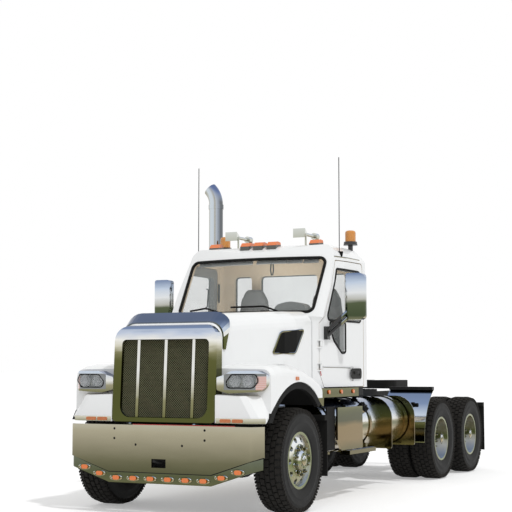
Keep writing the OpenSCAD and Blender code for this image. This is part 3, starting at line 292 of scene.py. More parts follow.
def ring_copies(shape, part, count, place=Matrix(), layer=None):
    """Merges copies of part, put at place, all round the X axis."""
    bmesh.ops.transform(part, matrix=place, verts=part.verts)
    geom = part.verts[:] + part.edges[:] + part.faces[:]
    bmesh.ops.spin(part, geom=geom, cent=(0, 0, 0), axis=(1, 0, 0), angle=2 * math.pi * (1 - 1 / count),
                   steps=count - 1, use_duplicate=True)
    bmesh.ops.recalc_face_normals(part, faces=part.faces)
    merge(shape, part, layer=layer)


def piece(name, shape, finishes, body, replaced=(), sharp=32):
    """Makes a bmesh a smooth shaded piece that rides on a body."""
    mesh = bpy.data.meshes.new(name)
    shape.to_mesh(mesh)
    shape.free()
    mesh.shade_smooth()
    mesh.set_sharp_from_angle(angle=math.radians(sharp))
    for finish in finishes if isinstance(finishes, list) else [finishes]:
        mesh.materials.append(finish.owner)
    made = linked(name, mesh)
    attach(made, body)
    if replaced:
        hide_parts(*replaced)
    return made


TYRE_R, RIM_R = 0.55, 0.2863
PITCHES = 44
# Blocks: height, depth of the root in the carcass, and how far the top stays inside the full radius
BLOCK_H, BLOCK_ROOT, BLOCK_WORN = 0.019, 0.006, 0.0012
# Rows of blocks: middle and width as shares of the tyre's width, stagger as a share of the pitch, slant
TREAD_ROWS = [(-0.19, 0.15, 0.5, -0.22), (0.0, 0.15, 0.0, 0.0), (0.19, 0.15, 0.5, 0.22)]
BLOCK_SHARE, SHOULDER_SHARE = 0.80, 0.74
# Shoulder blocks: their ends and where the top falls away, as shares of the width, and the fall
SHOULDER_IN, SHOULDER_OUT, SHOULDER_EDGE, SHOULDER_FALL = 0.29, 0.465, 0.405, 0.30
# Shoulder lugs: place across as a share of the width, thickness, share of the pitch, height, lean
LUG_ACROSS, LUG_T, LUG_SHARE, LUG_H, LUG_LEAN = 0.468, 0.014, 0.30, 0.05, 0.28
# Carcass: place across as a share of the width, then height over the rim or depth under the blocks
SIDEWALL = [
    (0.30, 0.012), (0.36, 0), (0.395, 0.012), (0.41, 0.03), (0.43, 0.034), (0.44, 0.045), (0.478, 0.075),
    (0.496, 0.105), (0.499, 0.112), (0.492, 0.116), (0.494, 0.145), (0.486, 0.17), (0.490, 0.173),
    (0.488, 0.182), (0.478, 0.186)]
SHOULDER = [(0.462, 0.032), (0.448, 0.012), (0.40, 0)]


def tyre_shape(width):
    base = TYRE_R - BLOCK_H
    half = [(across, RIM_R + rise) for across, rise in SIDEWALL]
    half += [(across, base - drop) for across, drop in SHOULDER]
    profile = [(-across * width, radius) for across, radius in half]
    profile += [(across * width, radius) for across, radius in reversed(half)]
    shape = turned(profile, 2 * PITCHES)
    pitch = bmesh.new()
    length = 2 * math.pi * TYRE_R / PITCHES
    height = BLOCK_H + BLOCK_ROOT
    level = TYRE_R - height / 2 - BLOCK_WORN
    for middle, share, stagger, slant in TREAD_ROWS:
        corners = block(pitch, (share * width, BLOCK_SHARE * length, height), (0, 0, level), 0.003)
        for corner in corners:
            corner.co.y += slant * corner.co.x
        turn = Matrix.Rotation(2 * math.pi * stagger / PITCHES, 4, "X")
        bmesh.ops.transform(pitch, matrix=turn @ Matrix.Translation((middle * width, 0, 0)), verts=corners)
    for side in (-1, 1):
        size = ((SHOULDER_OUT - SHOULDER_IN) * width, SHOULDER_SHARE * length, height)
        middle = side * (SHOULDER_IN + SHOULDER_OUT) / 2 * width
        for corner in block(pitch, size, (middle, 0, level), 0.004):
            corner.co.z -= max(0, side * corner.co.x / width - SHOULDER_EDGE) * SHOULDER_FALL
        for offset in (-0.26, 0.26):
            spot = (side * LUG_ACROSS * width, offset * length, base - 0.022)
            turn = Matrix.Rotation(side * LUG_LEAN, 3, "Y")
            block(pitch, (LUG_T, LUG_SHARE * length, LUG_H), spot, 0.003, turn)
    ring_copies(shape, pitch, PITCHES, layer=1)
    return shape


def mottled(name, sockets, patches, low, high):
    """A finish whose colour drifts between two tones in patches of a noise's scale and detail."""
    finish = Finish(name, sockets)
    finish.look(base_color=finish.mix(finish.noise(*patches), low, high))
    return finish


side_rubber = mottled(
    "tyre_side", {"Specular IOR Level": 0.2}, (9, 5), (0.012, 0.012, 0.012), (0.025, 0.025, 0.024))
side_rubber.look(roughness=0.55 + side_rubber.noise(9, 5) * 0.3)
side_rubber.bump(side_rubber.noise(240, 3), 0.0005, 0.4)
tread_rubber = mottled(
    "tyre_tread", {"Specular IOR Level": 0.15}, (22, 6), (0.009, 0.0085, 0.008), (0.028, 0.026, 0.023))
tread_rubber.look(roughness=0.7 + tread_rubber.noise(22, 6) * 0.25)
tread_rubber.bump(tread_rubber.noise(150, 4), 0.0012, 0.5)

SIDES = [("left", 1), ("right", -1)]
# Wheels on one axle end: plural ending, axle, ends of the pair that carry a tyre, width of a tyre
WHEELS = [("", "front", (0,), 0.315), ("s", "rear_1", (-1, 1), 0.300), ("s", "rear_2", (-1, 1), 0.300)]
for side, _ in SIDES:
    for plural, axle, ends, width in WHEELS:
        group = f"{plural}_{axle}_{side}"
        low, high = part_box("tyre" + group)
        wheel = bmesh.new()
        for end in ends:
            spot = (low + high) / 2
            spot.x += end * ((high.x - low.x) - width) / 2
            merge(wheel, tyre_shape(width), Matrix.Translation(spot))
        piece("tread_tyre" + group, wheel, [side_rubber, tread_rubber], "wheel" + group,
              ["tyre" + group])


# Rims: forged aluminium discs, polished, on ten studs. Each stud has a flanged nut with its tip showing, and
# the hub has a ring of cap screws round a domed oil cap.
# Its polish has a painted reflection of open air: deep sky on upward faces, pale horizon, olive and tan
# ground below.
AIR_REFLECTION_TONES = [
    (0.00, 0.30, 0.25, 0.16), (0.36, 0.42, 0.35, 0.22), (0.46, 0.14, 0.14, 0.06), (0.512, 0.09, 0.10, 0.03),
    (0.535, 0.36, 0.34, 0.23), (0.565, 0.80, 0.80, 0.76), (0.68, 0.58, 0.65, 0.74), (0.80, 0.20, 0.27, 0.42),
    (1.00, 0.09, 0.13, 0.24)]
RIM_REFLECTION_TONES = [
    (0.00, 0.30, 0.26, 0.17), (0.30, 0.34, 0.32, 0.18), (0.42, 0.15, 0.18, 0.06), (0.49, 0.22, 0.23, 0.11),
    (0.535, 0.74, 0.73, 0.66), (0.65, 0.80, 0.83, 0.86), (0.80, 0.46, 0.54, 0.70), (1.00, 0.20, 0.28, 0.46)]


# Bright metal whose colour is a painted reflection, picked by how each face looks up or down, a little by
# height, with a random ripple.
def bright_metal(name, roughness, waviness, metallic=1.0, air=AIR_REFLECTION_TONES):
    finish = Finish(name, {"Metallic": metallic})
    slope = finish.facing("Z") * 0.5 + 0.5
    height = (finish.place("Z") - 1.5) * 0.04
    ripple = (finish.noise(5, 2) - 0.5) * waviness
    finish.look(base_color=finish.ramp(slope + height + ripple, air))
    finish.look(roughness=roughness + finish.noise(40, 3) * 0.06)
    return finish


chrome = bright_metal("chrome", 0.04, 0.03)
polished = bright_metal("polished_aluminium", 0.12, 0.16, 0.45, RIM_REFLECTION_TONES)
dress(polished, *[name for name in nodes if name.startswith("rim")])
STUDS, STUD_CIRCLE_R = 10, 0.1429
NUT_R, NUT_H, NUT_MIDDLE = 0.0205, 0.026, 0.019
CAP_SCREWS, CAP_CIRCLE_R = 8, 0.068
NUT_FLANGE = [(0, 0.027), (0.004, 0.027), (0.008, 0.0215), (0.008, 0.001)]
STUD_TIP = [(0.030, 0.0135), (0.048, 0.0135), (0.051, 0.011), (0.051, 0.0005)]
CAP_SCREW = [(0, 0.009), (0.006, 0.009), (0.008, 0.007), (0.008, 0.0005)]
OIL_CAP = [(0, 0.052), (0.006, 0.052), (0.010, 0.047), (0.012, 0.036), (0.018, 0.033), (0.021, 0.020),
           (0.022, 0.0005)]
# Places of the disc's face and the hub's end along a single wheel's axle and a pair's
DISC_AND_HUB = {"": (0.124, 0.172), "s": (0.024, 0.170)}


def nuts_and_cap(face, axle_end):
    """Nuts on the disc's face, cap screws and the oil cap on the hub's end, all along +X."""
    shape = bmesh.new()
    nut = turned(NUT_FLANGE, 16)
    lying = Matrix.Translation((NUT_MIDDLE, 0, 0)) @ Matrix.Rotation(math.pi / 2, 4, "Y")
    bmesh.ops.create_cone(nut, segments=6, radius1=NUT_R, radius2=NUT_R, depth=NUT_H, cap_ends=True,
                          matrix=lying)
    turned(STUD_TIP, 12, nut)
    ring_copies(shape, nut, STUDS, Matrix.Translation((face, 0, STUD_CIRCLE_R)))
    ring_copies(shape, turned(CAP_SCREW, 6), CAP_SCREWS, Matrix.Translation((axle_end, 0, CAP_CIRCLE_R)))
    merge(shape, turned(OIL_CAP, 32), Matrix.Translation((axle_end, 0, 0)))
    return shape


for side, sign in SIDES:
    turn = Matrix.Rotation(0 if sign > 0 else math.pi, 4, "Z")
    for plural, axle, _, _ in WHEELS:
        group = f"{plural}_{axle}_{side}"
        disc, hub = DISC_AND_HUB[plural]
        low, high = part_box("rim" + group)
        middle = (low + high) / 2
        middle.x = (high.x if sign > 0 else low.x) - sign * hub
        nuts = nuts_and_cap(disc, hub)
        bmesh.ops.transform(nuts, matrix=Matrix.Translation(middle) @ turn, verts=nuts.verts)
        piece("nuts_rim" + group, nuts, chrome, "wheel" + group)


# Rear end: a cast fifth wheel with a greased top plate, chromed quarter fenders with a black rail on top,
# held by black brackets ahead of the drive wheels, ribbed rubber flaps, and red lamps at the frame's end.
fifth_wheel_iron = dusty_black("fifth_wheel_iron", 0.016, 0.5, 70, 0.0025)
grease = fifth_wheel_iron.facing("Z") * fifth_wheel_iron.noise(6, 4)
fifth_wheel_iron.look(roughness=0.62 - grease * 0.5)
dress(fifth_wheel_iron, "fifth_wheel")
flap_rubber = dusty_black("flap_rubber", 0.012, 0.6, 260, 0.0006)
dress(flap_rubber, "mudflaps", "arch_liners")


def lens(name, deep, pale, rib):
    """A moulded lens with fine ribs: rib stretches the waves along X, Y and Z."""
    finish = Finish(name, {"Coat Weight": 0.5, "Coat Roughness": 0.05, "Roughness": 0.25})
    spot = finish.add("Mapping", None, {"Vector": finish.place(), "Scale": rib})
    ribs = finish.add("TexWave", {"bands_direction": "DIAGONAL"}, {"Vector": spot, "Scale": 1.0}, "Fac")
    finish.look(base_color=finish.mix(ribs, deep, pale))
    finish.bump(ribs, 0.002, 0.35)
    return finish


red_lens = lens("red_lens", (0.30, 0.006, 0.005), (0.55, 0.02, 0.015), (60, 0, 0))
dress(red_lens, "tail_lamps")

FLAP_RIB_SIZE = (0.012, 0.006, 0.40)
FLAP_RIB_X, FLAP_RIB_STEP, FLAP_RIB_Z = 0.66, 0.11, 0.52
flap_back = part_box("mudflaps")[1].y
ribs = bmesh.new()
for sign in (1, -1):
    for step in range(5):
        across = sign * (FLAP_RIB_X + FLAP_RIB_STEP * step)
        block(ribs, FLAP_RIB_SIZE, (across, flap_back - FLAP_RIB_SIZE[1] / 2, FLAP_RIB_Z), 0.002)
piece("flap_ribs", ribs, flap_rubber, "chassis")

FENDER_RAIL_LOW = 1.2225
fender_metal = bright_metal("quarter_fender_chrome", 0.04, 0.02)
rail_part = fender_metal.place("Z") > FENDER_RAIL_LOW
fender_metal.cover(rail_part, (0.01, 0.01, 0.01), metallic=1 - rail_part, roughness=0.06 + rail_part * 0.35)
dress(fender_metal, "quarter_fenders")

surfaces = {}


def hit(node, start, aim):
    """Where a straight line from start meets a CAD node, and the face's direction there."""
    if node not in surfaces:
        skin = bmesh.new()
        skin.from_mesh(nodes[node].data)
        surfaces[node] = BVHTree.FromBMesh(skin)
        skin.free()
    return surfaces[node].ray_cast(Vector(start), Vector(aim))[:2]


def from_front(node, x, z):
    return hit(node, (x, cad_box[0][1] - 1, z), (0, 1, 0))


def from_side(node, sign, y, z):
    return hit(node, (sign * (cad_box[1][0] + 1), y, z), (-sign, 0, 0))


BRACKET_X, BRACKET_Z = 0.985, 1.030
BRACKET_SIZES = [(0.15, 0.06, 0.036), (0.040, 0.06, 0.06)]
brackets = bmesh.new()
for sign in (1, -1):
    spot, _ = from_front("quarter_fenders", sign * BRACKET_X, BRACKET_Z)
    for size in BRACKET_SIZES:
        block(brackets, size, (sign * BRACKET_X, spot.y - 0.005, BRACKET_Z), 0.006)
piece("fender_brackets", brackets, black_moulding, "chassis")


# Deck: a chequered steel plate with folded sides behind the cab, on posts that stand on the frame, and two
# sub-frame rails that run on from it to the fifth wheel on posts of their own. All of it is chassis black.
DECK_Y0, DECK_Y1, DECK_TOP, DECK_HALF_W = -0.56, 1.20, 1.235, 0.455
DECK_SHEET, DECK_SIDE_H = 0.012, 0.105
deck_mid, deck_l = (DECK_Y0 + DECK_Y1) / 2, DECK_Y1 - DECK_Y0
POST_X, POST_LOW, POST_TOP = 0.40, 1.010, DECK_TOP - 0.004
POST_SIZE, POST_Z = (0.050, 0.060, POST_TOP - POST_LOW), (POST_TOP + POST_LOW) / 2
POST_YS = [DECK_Y0 + 0.25, deck_mid - 0.2, deck_mid + 0.4, DECK_Y1 - 0.10]
SUBFRAME_SIZE, SUBFRAME_X, SUBFRAME_Y, SUBFRAME_DROP = (0.050, 0.640, 0.100), 0.425, DECK_Y1 + 0.31, 0.080
SUBFRAME_POST_SIZE, SUBFRAME_POST_Z = (0.040, 0.090, 0.110), 1.060
SUBFRAME_POST_YS = [DECK_Y1 + 0.14, DECK_Y1 + 0.50]
# Chequer bars: size and turn, rows and columns, first place and step of each, height
CHEQUER_SIZE, CHEQUER_TURN, CHEQUER_ROWS, CHEQUER_COLUMNS = (0.030, 0.009, 0.004), 0.7, 27, 14
CHEQUER_X, CHEQUER_X_STEP, CHEQUER_Y, CHEQUER_Y_STEP = -0.42, 0.0646, DECK_Y0 + 0.04, 0.064
CHEQUER_Z = DECK_TOP + 0.0008
deck = bmesh.new()
block(deck, (2 * DECK_HALF_W, deck_l, DECK_SHEET), (0, deck_mid, DECK_TOP - DECK_SHEET / 2), 0.003)
for sign in (-1, 1):
    across = sign * (DECK_HALF_W - DECK_SHEET / 2)
    block(deck, (DECK_SHEET, deck_l, DECK_SIDE_H), (across, deck_mid, DECK_TOP - DECK_SIDE_H / 2), 0.003)
    for y in POST_YS:
        block(deck, POST_SIZE, (sign * POST_X, y, POST_Z), 0.004)
    block(deck, SUBFRAME_SIZE, (sign * SUBFRAME_X, SUBFRAME_Y, DECK_TOP - SUBFRAME_DROP), 0.006)
    for y in SUBFRAME_POST_YS:
        block(deck, SUBFRAME_POST_SIZE, (sign * POST_X, y, SUBFRAME_POST_Z), 0.004)
for row in range(CHEQUER_ROWS):
    for column in range(CHEQUER_COLUMNS):
        spot = (CHEQUER_X + CHEQUER_X_STEP * column, CHEQUER_Y + CHEQUER_Y_STEP * row, CHEQUER_Z)
        block(deck, CHEQUER_SIZE, spot, turn=Matrix.Rotation(CHEQUER_TURN * (-1) ** (row + column), 3, "Z"))
piece("deck_plate", deck, chassis_paint, "chassis")


# Tanks and steps: rolled and polished aluminium drums in banded straps, with a D shaped plate over each rear
# end, a folded step panel ahead and a tread plate below. Their colour is a painted reflection, which on the
# flat sheets shows verge, kerb and road.
def bright_wall(name, low, high, tones, roughness=0.05):
    """Painted reflection on bright metal: upright faces take their tone from height, sloping ones from the
    open air.
    """
    finish = Finish(name, {"Metallic": 1.0})
    level = (finish.place("Z") - low) * (1 / (high - low)) + (finish.noise(3, 2, (1, 1, 4)) - 0.5) * 0.10
    slope = finish.facing("Z")
    steep = finish.add("MapRange", None, {0: abs(slope), 1: 0.25, 2: 0.6})
    walls = finish.ramp(level, tones)
    finish.look(base_color=finish.mix(steep, walls, finish.ramp(slope * 0.5 + 0.5, AIR_REFLECTION_TONES)))
    finish.look(roughness=roughness + finish.noise(40, 3) * 0.06)
    return finish


# The drums' colour is a painted reflection of sky and ground, by how each face looks up or down.
tank_metal = Finish("tank_metal", {"Metallic": 1.0})
lay = tank_metal.noise(90, 3, (1, 0.06, 1))
tank_slope = tank_metal.facing("Z") * 0.5 + 0.5 + (lay - 0.5) * 0.04
tank_metal.look(base_color=tank_metal.ramp(tank_slope, AIR_REFLECTION_TONES), roughness=0.12 + lay * 0.12)
dress(tank_metal, "fuel_tanks")
# Painted reflection on the step panel by height: olive at the foot, tan below the middle, a dark band above,
# paler at the top.
STEP_REFLECTION_TONES = [
    (0.0, 0.12, 0.10, 0.032), (0.22, 0.215, 0.15, 0.058), (0.54, 0.215, 0.15, 0.056),
    (0.66, 0.060, 0.060, 0.018), (0.80, 0.062, 0.064, 0.020), (0.90, 0.080, 0.083, 0.026),
    (1.0, 0.14, 0.135, 0.05)]
step_metal = bright_wall("step_metal", 0.60, 1.08, STEP_REFLECTION_TONES, 0.08)
dress(step_metal, "tank_steps")
# Painted reflection on the sill: dark olive, darkest halfway up.
SILL_REFLECTION_TONES = [(0.0, 0.104, 0.096, 0.020), (0.5, 0.082, 0.080, 0.016), (1.0, 0.120, 0.116, 0.032)]
dress(bright_wall("sill_metal", 1.18, 1.29, SILL_REFLECTION_TONES, 0.06), "sill_panels")

TANK_X, TANK_Z, TANK_R = 0.805, 0.845, 0.305
BAND_YS, BAND_T = [-1.96, -1.31, -0.74], 0.012
BUCKLE_SIZE, BUCKLE_RISE, BUCKLE_LEAN = (0.030, 0.030, 0.075), 0.30, 0.9
FILLER_Y, FILLER_TILT, FILLER_STAND = -0.85, math.radians(38), 0.012
FILLER_CAP = [(0.0, 0.070), (0.010, 0.070), (0.014, 0.066), (0.034, 0.064), (0.040, 0.056), (0.040, 0.001)]
FILLER_GRIP = (0.012, 0.120, 0.014)
buckle_x = TANK_X + math.sqrt((TANK_R + BAND_T) ** 2 - BUCKLE_RISE ** 2) + 0.006
buckles = bmesh.new()
caps = bmesh.new()
for sign in (1, -1):
    for y in BAND_YS:
        turn = Matrix.Rotation(-sign * BUCKLE_LEAN, 3, "Y")
        block(buckles, BUCKLE_SIZE, (sign * buckle_x, y, TANK_Z + BUCKLE_RISE), 0.004, turn)
    cap = turned(FILLER_CAP, 24)
    for step in range(3):
        block(cap, FILLER_GRIP, (0.044, 0, 0), 0.003, Matrix.Rotation(step * math.pi / 3, 3, "X"))
    tilt = Matrix.Rotation(-FILLER_TILT if sign > 0 else math.pi + FILLER_TILT, 4, "Y")
    reach = Matrix.Translation((TANK_R + FILLER_STAND, 0, 0))
    merge(caps, cap, Matrix.Translation((sign * TANK_X, FILLER_Y, TANK_Z)) @ tilt @ reach)
piece("band_buckles", buckles, step_metal, "chassis")
piece("filler_caps", caps, black_moulding, "chassis")

TREAD_SIZE, TREAD_X, TREAD_TOP = (0.090, 0.016, 0.007), 1.075, 0.5605
TREAD_Y, TREAD_STEP, TREADS = -1.41, 0.064, 13
treads = bmesh.new()
for sign in (1, -1):
    for row in range(TREADS):
        spot = (sign * TREAD_X, TREAD_Y + TREAD_STEP * row, TREAD_TOP)
        block(treads, TREAD_SIZE, spot, 0.002, Matrix.Rotation(0.5 * (-1) ** row, 3, "Z"))
piece("step_treads", treads, step_metal, "chassis")


# Bumper: a bent plate of chromed steel on the frame horns, over a narrower strip with ten oval marker lamps
# in bright bezels. Round headed bolts hold it, and its flat face has a painted reflection of tan ground over
# a dark verge.
BUMPER_REFLECTION_TONES = [
    (0.0, 0.085, 0.085, 0.045), (0.22, 0.13, 0.124, 0.072), (0.55, 0.25, 0.23, 0.157),
    (0.85, 0.36, 0.33, 0.235), (1.0, 0.42, 0.395, 0.305)]
dress(bright_wall("bumper_chrome", 0.44, 0.93, BUMPER_REFLECTION_TONES), "bumper")
# The valance's colour is also a painted reflection by height: a dark olive verge, paler at the top.
VALANCE_REFLECTION_TONES = [
    (0.0, 0.105, 0.108, 0.052), (0.30, 0.082, 0.090, 0.045), (0.42, 0.088, 0.096, 0.052),
    (1.0, 0.13, 0.145, 0.105)]
dress(bright_wall("valance_chrome", 0.32, 0.62, VALANCE_REFLECTION_TONES), "bumper_valance")


def stand(spot, normal):
    """The place of a part turned along +X, stood on a face."""
    return Matrix.Translation(spot) @ normal.to_track_quat("X", "Z").to_matrix().to_4x4()


BUMPER_BOLTS = [(0.54, 0.884), (0.54, 0.783), (0.278, 0.722)]
BOLT_HEAD = [(-0.003, 0.013), (0.0, 0.013), (0.0006, 0.011), (0.0006, 0.0005)]
RED_STRIP_SIZE, RED_STRIP_SPOT = (1.20, 0.016, 0.009), (0.28, -3.858, 0.929)
fittings = bmesh.new()
for x, z in BUMPER_BOLTS:
    for sign in (-1, 1):
        merge(fittings, turned(BOLT_HEAD, 16), stand(*from_front("bumper", sign * x, z)))
red_strip = bmesh.new()
block(red_strip, RED_STRIP_SIZE, RED_STRIP_SPOT, 0.002)
merge(fittings, red_strip, layer=1)
piece("bumper_fittings", fittings, [chassis_paint, red_lens], "chassis")


def bead(name, paths, radius, finish, body, closed=True, replaced=()):
    """A round bead along each path of points."""
    line = bpy.data.curves.new(name, "CURVE")
    line.dimensions = "3D"
    line.bevel_depth = radius
    line.bevel_resolution = 2
    for path in paths:
        spline = line.splines.new("POLY")
        spline.points.add(len(path) - 1)
        spline.use_cyclic_u = closed
        for point, spot in zip(spline.points, path):
            point.co = (*spot, 1)
    holder = bpy.data.objects.new(name + "_line", line)
    shape = bmesh.new()
    carrier = bpy.data.meshes.new_from_object(holder)
    shape.from_mesh(carrier)
    bpy.data.objects.remove(holder)
    bpy.data.meshes.remove(carrier)
    bpy.data.curves.remove(line)
    return piece(name, shape, finish, body, replaced, sharp=60)


# Lower edge of the bumper's left half, from the straight middle outwards
BUMPER_EDGE = [(0.61, 0.4397), (0.85, 0.5197), (1.08, 0.596), (1.145, 0.6178)]
JOINT_INSET = Vector((0, 0.0068, -0.006))
edge = [(-x, z) for x, z in reversed(BUMPER_EDGE)] + [(0.0, BUMPER_EDGE[0][1])] + BUMPER_EDGE
joint = [from_front("bumper", x, z + 0.004)[0] + JOINT_INSET for x, z in edge]
bead("bumper_joint", [joint], 0.007, chassis_paint, "chassis", closed=False)

STRIP_LAMPS = [(0.104, 0.3745), (0.312, 0.3745), (0.520, 0.3745), (0.728, 0.413), (0.915, 0.474)]
BEZEL = [(0.0, 0.0315), (0.008, 0.0305), (0.0115, 0.0275), (0.0115, 0.0215), (0.004, 0.0185)]
BEZEL_STRETCH = Matrix.Diagonal((1, 2.55, 1.02, 1))
bezels = bmesh.new()
for x, z in STRIP_LAMPS:
    for sign in (-1, 1):
        place = stand(*from_front("bumper_valance", sign * x, z))
        merge(bezels, turned(BEZEL, 28), place @ BEZEL_STRETCH)
piece("strip_lamp_bezels", bezels, chrome, "chassis")

# Lamps above CAB_LAMPS_LOW are on the roof, which climbs to the rear, and stand on metal feet
CAB_LAMPS_LOW, ROOF_SLOPE, ROOF_LEVEL, LAMP_FOOT_H = 2.5, 0.1064, 3.137, 0.020
amber_lens = lens("amber_lens", (0.62, 0.10, 0.008), (0.90, 0.24, 0.03), (55, 30, 0))
above_roof = amber_lens.place("Z") - amber_lens.place("Y") * ROOF_SLOPE - ROOF_LEVEL
on_roof = (amber_lens.place("Z") > CAB_LAMPS_LOW) * (above_roof < LAMP_FOOT_H)
amber_lens.cover(on_roof, (0.10, 0.10, 0.09), metallic=on_roof)
dress(amber_lens, "marker_lamps")


# Grille: woven wire behind three oval bars, in a deep pressed and chromed surround that leans back.
# The wire is dull and olive; the surround has a painted reflection of grass low down, a pale horizon and the
# sky.
SURROUND_REFLECTION_TONES = [
    (0.0, 0.085, 0.092, 0.028), (0.30, 0.080, 0.086, 0.026), (0.64, 0.105, 0.108, 0.036),
    (0.72, 0.24, 0.23, 0.12), (0.77, 0.62, 0.60, 0.48), (0.84, 0.82, 0.81, 0.76), (0.92, 0.52, 0.58, 0.70),
    (1.0, 0.20, 0.26, 0.42)]
dress(bright_wall("surround_chrome", 0.955, 1.968, SURROUND_REFLECTION_TONES), "grille_surround")
crown_chrome = bright_metal("crown_chrome", 0.05, 0.02)
# The crown's top is painted with a reflection of blue sky.
crown_top = crown_chrome.add("MapRange", None, {0: crown_chrome.place("Z"), 1: 1.93, 2: 2.02})
crown_sky_reflection = crown_chrome.mix(crown_chrome.noise(2, 2), (0.060, 0.088, 0.16), (0.098, 0.132, 0.22))
crown_chrome.cover(crown_top, crown_sky_reflection)
dress(crown_chrome, "hood_crown")
# The bars' colour is a painted reflection by height: dark low down, a pale horizon above.
BAR_REFLECTION_TONES = [
    (0.0, 0.15, 0.15, 0.06), (0.22, 0.26, 0.25, 0.14), (0.40, 0.55, 0.54, 0.46), (0.60, 0.78, 0.78, 0.75),
    (1.0, 0.74, 0.74, 0.70)]
bar_chrome = bright_wall("grille_bar_chrome", 1.0, 1.82, BAR_REFLECTION_TONES)
wire = mottled(
    "grille_wire", {"Metallic": 0.7, "Roughness": 0.45}, (12, 4), (0.12, 0.122, 0.068), (0.20, 0.195, 0.115))

GRILLE_HALF_W, GRILLE_LOW, GRILLE_TOP = 0.522, 1.003, 1.812
GRILLE_BASE_Y, GRILLE_LEAN = -3.7605, math.atan(0.0543)
WIRE_PITCH, WIRE_T, WIRE_LAYER = 0.018, 0.0044, 0.005
BAR_XS, BAR_R, BAR_Y, BAR_FLAT = (-0.333, 0.0, 0.333), 0.020, -0.006, 0.75
SHROUD_T, SHROUD_Y, SHROUD_LAP = 0.004, 0.030, 0.06
grille_h = GRILLE_TOP - GRILLE_LOW
run = WIRE_PITCH * math.sqrt(2)
grille = bmesh.new()
for slant, layer in ((1, 0.0), (-1, WIRE_LAYER)):
    turn = Matrix.Rotation(slant * math.pi / 4, 3, "Y") @ Matrix.Rotation(math.pi / 4, 3, "X")
    for index in range(1, int((2 * GRILLE_HALF_W + grille_h) / run)):
        start = max(0.0, index * run - grille_h)
        end = min(2 * GRILLE_HALF_W, index * run)
        middle = (start + end) / 2
        spot = (slant * (middle - GRILLE_HALF_W), layer, index * run - middle)
        block(grille, ((end - start) * math.sqrt(2), WIRE_T, WIRE_T), spot, turn=turn)
for x in BAR_XS:
    bar = bmesh.new()
    bmesh.ops.create_cone(bar, segments=20, radius1=BAR_R, radius2=BAR_R, depth=grille_h, cap_ends=True)
    flat = Matrix.Diagonal((1, BAR_FLAT, 1, 1))
    merge(grille, bar, Matrix.Translation((x, BAR_Y, grille_h / 2)) @ flat, layer=1)
shroud = bmesh.new()
shroud_size = (2 * GRILLE_HALF_W + SHROUD_LAP, SHROUD_T, grille_h + SHROUD_LAP)
block(shroud, shroud_size, (0, SHROUD_Y, grille_h / 2))
merge(grille, shroud, layer=2)
lean = Matrix.Translation((0, GRILLE_BASE_Y, GRILLE_LOW)) @ Matrix.Rotation(-GRILLE_LEAN, 4, "X")
bmesh.ops.transform(grille, matrix=lean, verts=grille.verts)
piece("grille_wires", grille, [wire, bar_chrome, black_moulding], "hood", ["grille_insert"])


# Hood: a moulded shell in white gloss that tilts on pins behind the bumper. Each flank has a black intake
# with a bright edge and one bar, and each fender a chromed lamp pod over a bright strip with amber lamps.
PAINT_LOW, PAINT_HIGH = (0.80, 0.81, 0.81), (0.86, 0.87, 0.87)
PAINT_GLOSS = {"Coat Weight": 0.6, "Coat Roughness": 0.05}
white_paint = mottled("white_paint", PAINT_GLOSS, (1.2, 4), PAINT_LOW, PAINT_HIGH)
white_paint.look(roughness=0.3 + white_paint.noise(9, 3) * 0.1)
white_paint.bump(white_paint.noise(260, 2), 0.0003, 0.15)
dress(white_paint, "hood_shell")
dress(black_moulding, "hood_vents")


def rounded_loop(corners, steps=6):
    """A closed outline with round corners, from (across, up, radius)."""
    loop = []
    for index, (a, b, radius) in enumerate(corners):
        here = Vector((a, b))
        before = (Vector(corners[index - 1][:2]) - here).normalized()
        after = (Vector(corners[(index + 1) % len(corners)][:2]) - here).normalized()
        angle = before.angle(after)
        reach = radius / math.tan(angle / 2)
        centre = here + (before + after).normalized() * radius / math.sin(angle / 2)
        start, end = here + before * reach - centre, here + after * reach - centre
        sweep = start.angle_signed(end)
        for step in range(steps + 1):
            loop.append(centre + Matrix.Rotation(-sweep * step / steps, 2) @ start)
    return loop


VENT = [(-2.95, 1.669, 0.015), (-2.615, 1.672, 0.070), (-2.412, 1.943, 0.018), (-2.85, 1.908, 0.060)]
VENT_MIDDLE, VENT_SHRINK = (-2.68, 1.80), (0.99, 0.98)
# A bar along the top of each vent: its ends along the truck, its height, depth and thickness
VENT_BAR_ENDS, VENT_BAR_Z, VENT_BAR_DEPTH, VENT_BAR_T = (-2.808, -2.448), 1.899, 0.010, 0.012
vent_edges = []
louvres = bmesh.new()
for sign in (1, -1):
    path = []
    for point in rounded_loop(VENT):
        y, z = [mid + share * (at - mid) for at, mid, share in zip(point, VENT_MIDDLE, VENT_SHRINK)]
        path.append(from_side("hood_vents", sign, y, z)[0])
    vent_edges.append(path)
    front, back = [from_side("hood_vents", sign, y, VENT_BAR_Z)[0] for y in VENT_BAR_ENDS]
    turn = (back - front).to_track_quat("X", "Z").to_matrix()
    block(louvres, ((back - front).length, VENT_BAR_DEPTH, VENT_BAR_T), (front + back) / 2, 0.003, turn)
piece("vent_louvres", louvres, black_moulding, "hood")
bead("vent_edging", vent_edges, 0.010, step_metal, "hood")

# The pods' chrome has a painted reflection by height: dark ground low down, a pale horizon, sky at the top.
POD_REFLECTION_TONES = [
    (0.0, 0.16, 0.16, 0.08), (0.35, 0.30, 0.28, 0.18), (0.55, 0.70, 0.70, 0.66), (1.0, 0.50, 0.58, 0.70)]
